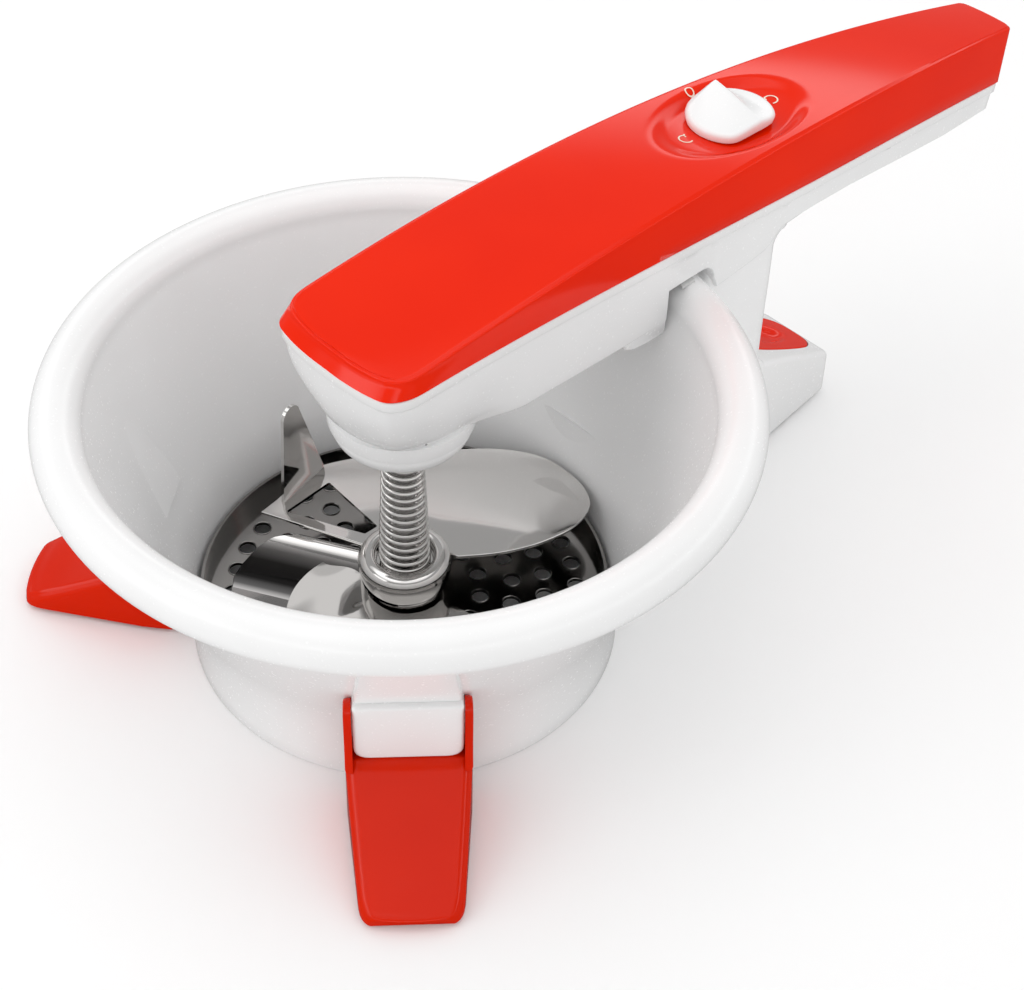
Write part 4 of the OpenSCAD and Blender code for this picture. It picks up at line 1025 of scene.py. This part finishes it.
def footCheeks():
    f = footSet
    parts = []
    for side in (-1, 1):
        outer, inner = side * f["rootHalf"], side * (f["rootHalf"] - f["cheek"])
        circle = around(f["pinX"], f["pinZ"], 4.1, range(-10, 200, 15))
        line = [(94.5, 26.5), (92.6, 33), (91.9, 42)] + circle + [(83.6, 38), (81.5, 27)]
        middle = Vector((88, 40))
        loops = []
        for y, shrink in ((inner, 0.0), (between(inner, outer, 0.62), 0.0), (between(inner, outer, 0.9), 0.35),
                          (outer, 1.0)):
            loops.append([(x - shrink * (x - middle.x) / 9, y, z - shrink * (z - middle.y) / 13) for x, z in line])
        parts.append(rings(loops))
    return parts


def makeFoot(side):
    f = footSet
    hand = "left" if side > 0 else "right"
    shell = makePiece(hand + "Foot", *footSolid(), shadedFootAbs, None, sharp=None)
    hollow = [boxLoop(x, footHalf(x) - f["wall"], 0.5, top) for x, top in f["hollow"]]
    swing = around(f["pinX"], f["pinZ"], f["clear"], range(0, 360, 5))  # room for the block as the foot folds
    cutAway(shell, [rings(hollow), rings([[(x, y, z) for x, z in swing] for y in (-17.9, 17.9)])])
    addParts(shell.data, footCheeks(), turn=side * bracketSet["angle"])
    return finishPiece(hand + "Foot", takeMesh(shell), shadedFootAbs, "foot_" + hand + "_unit", ["foot_" + hand], 35)


def makePad(side):
    f = footSet
    back, front, half = f["tip"] - f["padFrom"], f["tip"] - f["padTo"], f["padHalf"]
    plan = roundedPath([(back, -half), (front, -half), (front, half), (back, half)], 3, 6)
    middle = (back + front) / 2
    loops = [[(middle + (p.x - middle) * k, p.y * k, z) for p in plan]
             for z, k in ((0.0, 0.95), (0.35, 1.0), (f["base"], 1.0))]
    hand = "left" if side > 0 else "right"
    part = turned(rings(loops), side * bracketSet["angle"])
    return makePiece(hand + "Pad", *part, paleRubber, "foot_" + hand + "_unit", ["foot_pad_" + hand], 40)


for side in (-1, 1):
    makeFoot(side)
    makePad(side)
latchCopy = softCopy("latch_spring", satinSteel, 0.1, "mill", 2, 60)
springFloor = buttonSet["springFloor"] * mm
for vertex in latchCopy.data.vertices:
    vertex.co.z = between(springFloor, vertex.co.z, buttonSet["springHeld"])  # held down a little by the insert
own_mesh(latchCopy)
makePiece("rearInsert", *makeButton(), redAbs, "button", ["release_button"], 40)
rearPlan = roundedPath([(184, -12), (202, -12), (202, 12), (184, 12)], 3, 6)
makePiece("rearPad", *prism(rearPlan, (0.0, 1.6)), paleRubber, "mill", ["rear_pad"], 40)
print("feet and knob made")

# Blade: a pressed plate with a window; the finger keeps the CAD shape, with its edges deburred.
bladeSet = {"level": 30.0, "thick": 1.2, "edge": 0.3, "bore": 14.6, "centre": (26, 14), "span": 45,
            "leaf": ((13, -13.4), (22.9, -20.4), (31, -24.6), (40, -27.8), (51.4, -29.6), (60, -28.2), (66.8, -24.4),
                     (71.2, -16), (72.2, -6), (71.4, 3), (67, 12), (60, 20.5), (51, 28), (41, 36), (30, 43.6),
                     (20, 49.4), (8, 54.6), (0, 54.6), (-8, 53.2), (-16, 51.3)),
            "arm": ((-24.2, 50.0), (-7.4, 12.4)), "window": ((-17.5, 44.2), (3.7, 46), (1.9, 16.8), (-3.9, 16.8))}


def makeBlade():
    # one sheet: the leaf, the arm that carries the finger, and the window between them
    g = bladeSet
    outline = [(p.x, p.y) for p in smoothLine(g["leaf"], 6)] + list(g["arm"])
    outline += around(0, 0, g["bore"], (112, 80, 50, 20, -10, -36))
    window = roundedPath(g["window"], 0.8, 4)
    loops = []
    edge, thick = g["edge"], g["thick"]
    for z, shrink in ((0.0, edge), (edge * 0.3, edge * 0.3), (edge, 0.0), (thick - edge, 0.0),
                      (thick - edge * 0.3, edge * 0.3), (thick, edge)):
        k = shrink / g["span"]
        loops.append([(between(x, g["centre"][0], k), between(y, g["centre"][1], k), g["level"] + z)
                      for x, y in outline])
    plate = makePiece("bladePlate", *rings(loops), bladeSteel, None, sharp=None)
    cutAway(plate, [prism(window, (g["level"] - 2, g["level"] + 4))])
    return finishPiece("bladePlate", takeMesh(plate), bladeSteel, "blade_drive", ["blade"], 25)


makeBlade()
softCopy("scraper_finger", bladeSteel, 0.3, "blade_drive", 3)

# Hub: a turned and polished boss, rounded over where the spring stands in it.
hubLine = [(5.05, 16.1), (12.4, 16.15), (13.4, 16.8), (14.6, 19.2), (15.6, 22.4), (16.25, 25.8), (16.5, 28.4),
           (16.35, 29.8), (15.8, 30.9), (14.9, 31.8), (13.8, 32.35), (12.6, 32.55), (11.6, 32.4), (10.8, 31.9),
           (10.3, 31.1), (10.05, 30.0), (9.95, 28.8), (9.8, 28.5), (5.05, 28.5)]


def makeHub():
    soft = smoothLine([(r, z) for r, z in hubLine[1:-1]], 4)
    return revolve([hubLine[0]] + [(p.x, p.y) for p in soft] + [hubLine[-1]], 144)


makePiece("bladeHub", *makeHub(), bladeSteel, "blade_drive", ["blade_hub"], 40)

# The wing: a sheet rolled over at its edge, swept down to the disc and on in front of the hub.
wingSet = {"angle": 120.3, "level": 15.0, "sheet": 1.0, "reach": 61.0, "hub": 15.6, "flatFrom": 20.0, "endAngle": 165.0,
           "weldRadius": 14.9, "weldAngle": 97.7,
           "profile": ((-1.9, 10.6), (-1.6, 12.0), (-0.4, 13.4), (1.6, 14.2), (3.8, 13.9), (6.2, 12.2), (9.2, 8.4),
                       (12.6, 4.6), (16.4, 2.1), (20.0, 1.1)),
           "out": ((-2, 38.5), (1, 41), (4, 47.5), (8, 53), (12, 56.8), (16, 58.6), (20, 57.6))}


def makeWing():
    g = wingSet
    line = smoothLine(g["profile"], 5)
    loops = []
    for i, p in enumerate(line):
        ahead, behind = line[min(i + 1, len(line) - 1)], line[max(i - 1, 0)]
        run = (ahead - behind).normalized()
        down = Vector((run.y, -run.x)) if i < len(line) - 1 else Vector((0, -1))
        y = p.x
        inner = math.sqrt(max(0.0, g["hub"] ** 2 - y * y)) if y < 15.2 else -2.0
        outer = min(along(g["out"], y), math.sqrt(g["reach"] ** 2 - y * y))
        low = p + down * g["sheet"]
        stops = [between(inner, outer, k / 14) for k in range(14)] + [outer - 0.25]
        rim = [(outer, between(p.x, low.x, t), between(p.y, low.y, t)) for t in (0.3, 0.7)]
        loops.append([(x, p.x, p.y) for x in stops] + rim + [(x, low.x, low.y) for x in reversed(stops)])
    roll = rings(loops)
    start, end = math.degrees(math.atan2(g["flatFrom"], g["out"][-1][1])), g["endAngle"]
    rim = around(0, 0, g["reach"], [between(start, end, k / 48) for k in range(49)])
    hub = around(0, 0, g["weldRadius"], [between(end, g["weldAngle"], k / 6) for k in range(7)])
    flat = rim + hub + [(-2.0, g["flatFrom"])]
    top, low = g["sheet"] + 0.1, 0.1
    slab = prism(flat, (low, low + 0.2, top - 0.2, top))
    points, faces = joined(roll, slab)
    points = [(x, y, z + g["level"]) for x, y, z in points]
    return turned((points, faces), g["angle"])


makePiece("bladeWing", *makeWing(), wingPaintedReflection, "blade_drive", ["blade_wing"], 30)


lobeSet = {"edge": ((129, 20.5, 28.6), (134, 27, 26.4), (139, 33, 23.6), (146, 38.6, 20.4), (154, 42.4, 18.2),
                    (164, 45.5, 17.2), (176, 49, 16.9), (200, 54, 16.8), (240, 58, 16.7), (284, 59, 16.6)),
           "root": 15.9, "rootZ": ((129, 28.8), (150, 25.0), (180, 20.0), (215, 17.6), (284, 17.2)), "thick": 0.9}


def makeLobe():
    # the part of the sheet that winds down round the front of the hub
    g = lobeSet
    line = smoothLine(g["edge"], 8)
    loops = []
    for p in line:
        a, reach, z = math.radians(p.x), p.y, p.z
        rootZ = along(g["rootZ"], p.x)
        upper = []
        for k in range(15):
            t = k / 14
            upper.append((between(g["root"], reach, t), between(rootZ, z, ease(t) * 0.5 + t * 0.5)))
        lower = [(r, h - g["thick"]) for r, h in reversed(upper)]
        loop = upper[:-1] + [(reach - 0.12, z - 0.02), (reach, z - 0.3), (reach - 0.05, z - g["thick"])] + lower[1:]
        loops.append([(r * math.cos(a), r * math.sin(a), h) for r, h in loop])
    return rings(loops)


makePiece("wingLobe", *makeLobe(), dimmedLobeSteel, "blade_drive", [], 40)


def openTree(name, sockets):
    # a new tree with its named inputs, and the key of each for the modifier
    tree = bpy.data.node_groups.new(name, "GeometryNodeTree")
    keys = {}
    for label, value in dict(sockets, Material=None).items():
        kind = "Int" if isinstance(value, int) else "Float" if value is not None else "Material"
        socket = tree.interface.new_socket(label, in_out="INPUT", socket_type="NodeSocket" + kind)
        if value is not None:
            socket.default_value = value
        keys[label] = socket.identifier
    tree.interface.new_socket("Geometry", in_out="OUTPUT", socket_type="NodeSocketGeometry")
    return tree, keys, addNode(tree, "NodeGroupInput").outputs


def closeTree(tree, given, geometry):
    real = addNode(tree, "GeometryNodeRealizeInstances", inputs={"Geometry": geometry})
    dressed = addNode(tree, "GeometryNodeSetMaterial", inputs={"Geometry": real.outputs["Geometry"],
                      "Material": given["Material"]})
    addNode(tree, "NodeGroupOutput", inputs={"Geometry": dressed.outputs["Geometry"]})


def curveCircle(tree, resolution, radius):
    ring = addNode(tree, "GeometryNodeCurvePrimitiveCircle", inputs={"Resolution": resolution, "Radius": radius})
    return ring.outputs["Curve"]


def bakeTree(name, tree, keys, values, material, body, stands):
    # evaluate the tree once and keep its result as a plain mesh
    holder = bpy.data.objects.new(name + "Seed", bpy.data.meshes.new(name + "Seed"))
    scene.collection.objects.link(holder)
    grow = holder.modifiers.new("grow", "NODES")
    grow.node_group = tree
    for label, value in values.items():
        grow[keys[label]] = value
    depsgraph = bpy.context.evaluated_depsgraph_get()
    mesh = bpy.data.meshes.new_from_object(holder.evaluated_get(depsgraph))
    holder.modifiers.clear()
    bpy.data.objects.remove(holder)
    return finishPiece(name, mesh, material, body, stands, 40)


# Spring: one wire wound on a slight cone between the hub and the collar.
springSet = {"Turns": 18.0, "Bottom Radius": 8.3 * mm, "Top Radius": 6.0 * mm, "Height": 57.7 * mm,
             "Wire Radius": 0.9 * mm, "Start": 29.4 * mm}


def springTree():
    tree, keys, given = openTree("springCoil", springSet)
    spiral = addNode(tree, "GeometryNodeCurveSpiral", inputs={"Resolution": 44, "Rotations": given["Turns"],
                     "Start Radius": given["Bottom Radius"], "End Radius": given["Top Radius"],
                     "Height": given["Height"]})
    sweep = addNode(tree, "GeometryNodeCurveToMesh", inputs={"Curve": spiral.outputs["Curve"],
                    "Profile Curve": curveCircle(tree, 14, given["Wire Radius"]), "Fill Caps": True})
    lift = addNode(tree, "ShaderNodeCombineXYZ", inputs={"Z": given["Start"]})
    placed = addNode(tree, "GeometryNodeTransform", inputs={"Geometry": sweep.outputs["Mesh"],
                     "Translation": lift.outputs["Vector"]})
    closeTree(tree, given, placed.outputs["Geometry"])
    return tree, keys


springShape, springKeys = springTree()
bakeTree("coilSpring", springShape, springKeys, dict(springSet, Material=bladeSteel), bladeSteel, "blade_drive",
         ["spring"])

# Disc: each punched hole has a small raised rim.
rimSet = {"pitch": 10.9, "holeRadius": 3.0, "bead": 0.24, "top": 14.05}


def ringValues(ring):
    radius = ring * rimSet["pitch"] * 1.04 + 4
    return {"Ring Radius": radius * mm, "Holes": int(2 * 3.14159 * radius / rimSet["pitch"]),
            "Turn": math.radians(11 * ring),
            "Hole Radius": (rimSet["holeRadius"] + 0.22) * mm, "Bead": rimSet["bead"] * mm, "Top": rimSet["top"] * mm}


def rimTree():
    tree, keys, given = openTree("punchedRims", ringValues(2))
    circle = addNode(tree, "GeometryNodeMeshCircle",
                     inputs={"Vertices": given["Holes"], "Radius": given["Ring Radius"]})
    lift = addNode(tree, "ShaderNodeCombineXYZ", inputs={"Z": given["Top"]})
    turn = addNode(tree, "ShaderNodeCombineXYZ", inputs={"Z": given["Turn"]})
    placed = addNode(tree, "GeometryNodeTransform", inputs={"Geometry": circle.outputs["Mesh"],
                     "Translation": lift.outputs["Vector"], "Rotation": turn.outputs["Vector"]})
    rim = addNode(tree, "GeometryNodeCurveToMesh", inputs={"Curve": curveCircle(tree, 32, given["Hole Radius"]),
                  "Profile Curve": curveCircle(tree, 8, given["Bead"])})
    spread = addNode(tree, "GeometryNodeInstanceOnPoints", inputs={"Points": placed.outputs["Geometry"],
                     "Instance": rim.outputs["Mesh"]})
    closeTree(tree, given, spread.outputs["Instances"])
    return tree, keys


rimShape, rimKeys = rimTree()
for ring in range(2, 6):
    values = dict(ringValues(ring), Material=sieveSteel)
    bakeTree("holeRims" + str(ring), rimShape, rimKeys, values, sieveSteel, "mill", [])
print("blade, spring and disc made")

# Camera, 75.5 mm lens on a 36 mm sensor, looking down at 43 degrees over the front foot.
cameraSet = {"place": (-344.8, -410.1, 557.5), "forward": (0.5087, 0.5267, -0.6809), "roll": 1.56, "lens": 75.55}


def setCamera():
    forward = Vector(cameraSet["forward"]).normalized()
    right = forward.cross(Vector((0, 0, 1))).normalized()
    up = right.cross(forward)
    roll = math.radians(cameraSet["roll"])
    across = right * math.cos(roll) + up * math.sin(roll)
    above = up * math.cos(roll) - right * math.sin(roll)
    turn = Matrix((across, above, -forward)).transposed().to_4x4()
    cam = bpy.data.cameras.new("camera")
    cam.lens = cameraSet["lens"]
    cam.sensor_width = 36
    cam.clip_start = 0.01
    holder = bpy.data.objects.new("camera", cam)
    holder.matrix_world = Matrix.Translation(Vector(cameraSet["place"]) * mm) @ turn
    scene.collection.objects.link(holder)
    scene.camera = holder


def setStage():
    floorMesh = bpy.data.meshes.new("floor")
    floorMesh.from_pydata([(-6, -6, 0), (6, -6, 0), (6, 6, 0), (-6, 6, 0)], [], [(0, 1, 2, 3)])
    floor = bpy.data.objects.new("floor", floorMesh)
    scene.collection.objects.link(floor)
    material, tree, place = newMaterial("white paper floor")
    paper = addNode(tree, "ShaderNodeBsdfPrincipled", inputs={"Base Color": hexColour("#FBFBFB"), "Roughness": 0.9})
    # mirrors see a dimmer floor, so that the reds and the steel keep their depth
    dim = addNode(tree, "ShaderNodeBsdfPrincipled", inputs={"Base Color": hexColour("#7A7A7A"), "Roughness": 0.9})
    ray = addNode(tree, "ShaderNodeLightPath")
    mixed = addNode(tree, "ShaderNodeMixShader", inputs={0: ray.outputs["Is Glossy Ray"], 1: paper.outputs["BSDF"],
                    2: dim.outputs["BSDF"]})
    addNode(tree, "ShaderNodeOutputMaterial", inputs={"Surface": mixed.outputs["Shader"]})
    floorMesh.materials.append(material)


def areaLamp(name, place, target, size, power):
    lamp = bpy.data.lights.new(name, "AREA")
    lamp.shape = "RECTANGLE"
    lamp.size, lamp.size_y = size
    lamp.energy = power
    holder = bpy.data.objects.new(name, lamp)
    direction = Vector(target) - Vector(place)
    holder.matrix_world = Matrix.Translation(place) @ direction.to_track_quat("-Z", "Y").to_matrix().to_4x4()
    scene.collection.objects.link(holder)


# Light: an even white sky, seen by mirrors as bands of tent and gap, with two weak lamps; bands go by height.
lightSet = {"sky": 0.93, "target": (0.0, 0.0, 0.05),
            "bands": ((0.0, 0.5), (0.28, 0.3), (0.36, 0.4), (0.40, 2.6), (0.47, 2.6), (0.56, 0.45), (0.80, 0.4),
                      (0.86, 1.2)),
            "lamps": (("overhead", (0.1, 0.3, 1.5), (1.4, 1.4), 2.5), ("left", (-1.3, 0.5, 0.9), (0.9, 1.2), 3.5))}


def setLight():
    world = bpy.data.worlds.new("studio")
    scene.world = world
    world.use_nodes = True
    tree = world.node_tree
    tree.nodes.clear()
    back = addNode(tree, "ShaderNodeBackground", inputs={"Color": (1, 1, 1, 1), "Strength": lightSet["sky"]})
    place = addNode(tree, "ShaderNodeTexCoord")
    parts = addNode(tree, "ShaderNodeSeparateXYZ", inputs={"Vector": place.outputs["Generated"]})
    tent = rampOver(tree, parts.outputs["Z"], [(where, (level, level, level, 1)) for where, level in lightSet["bands"]])
    inMirrors = addNode(tree, "ShaderNodeBackground", inputs={"Color": tent, "Strength": 1.0})
    ray = addNode(tree, "ShaderNodeLightPath")
    chosen = addNode(tree, "ShaderNodeMixShader",
                     inputs={0: ray.outputs["Is Glossy Ray"], 1: back.outputs["Background"],
                     2: inMirrors.outputs["Background"]})
    addNode(tree, "ShaderNodeOutputWorld", inputs={"Surface": chosen.outputs["Shader"]})
    for name, place, size, power in lightSet["lamps"]:
        areaLamp(name, place, lightSet["target"], size, power)


setCamera()
setStage()
setLight()
scene.view_settings.view_transform = "Standard"
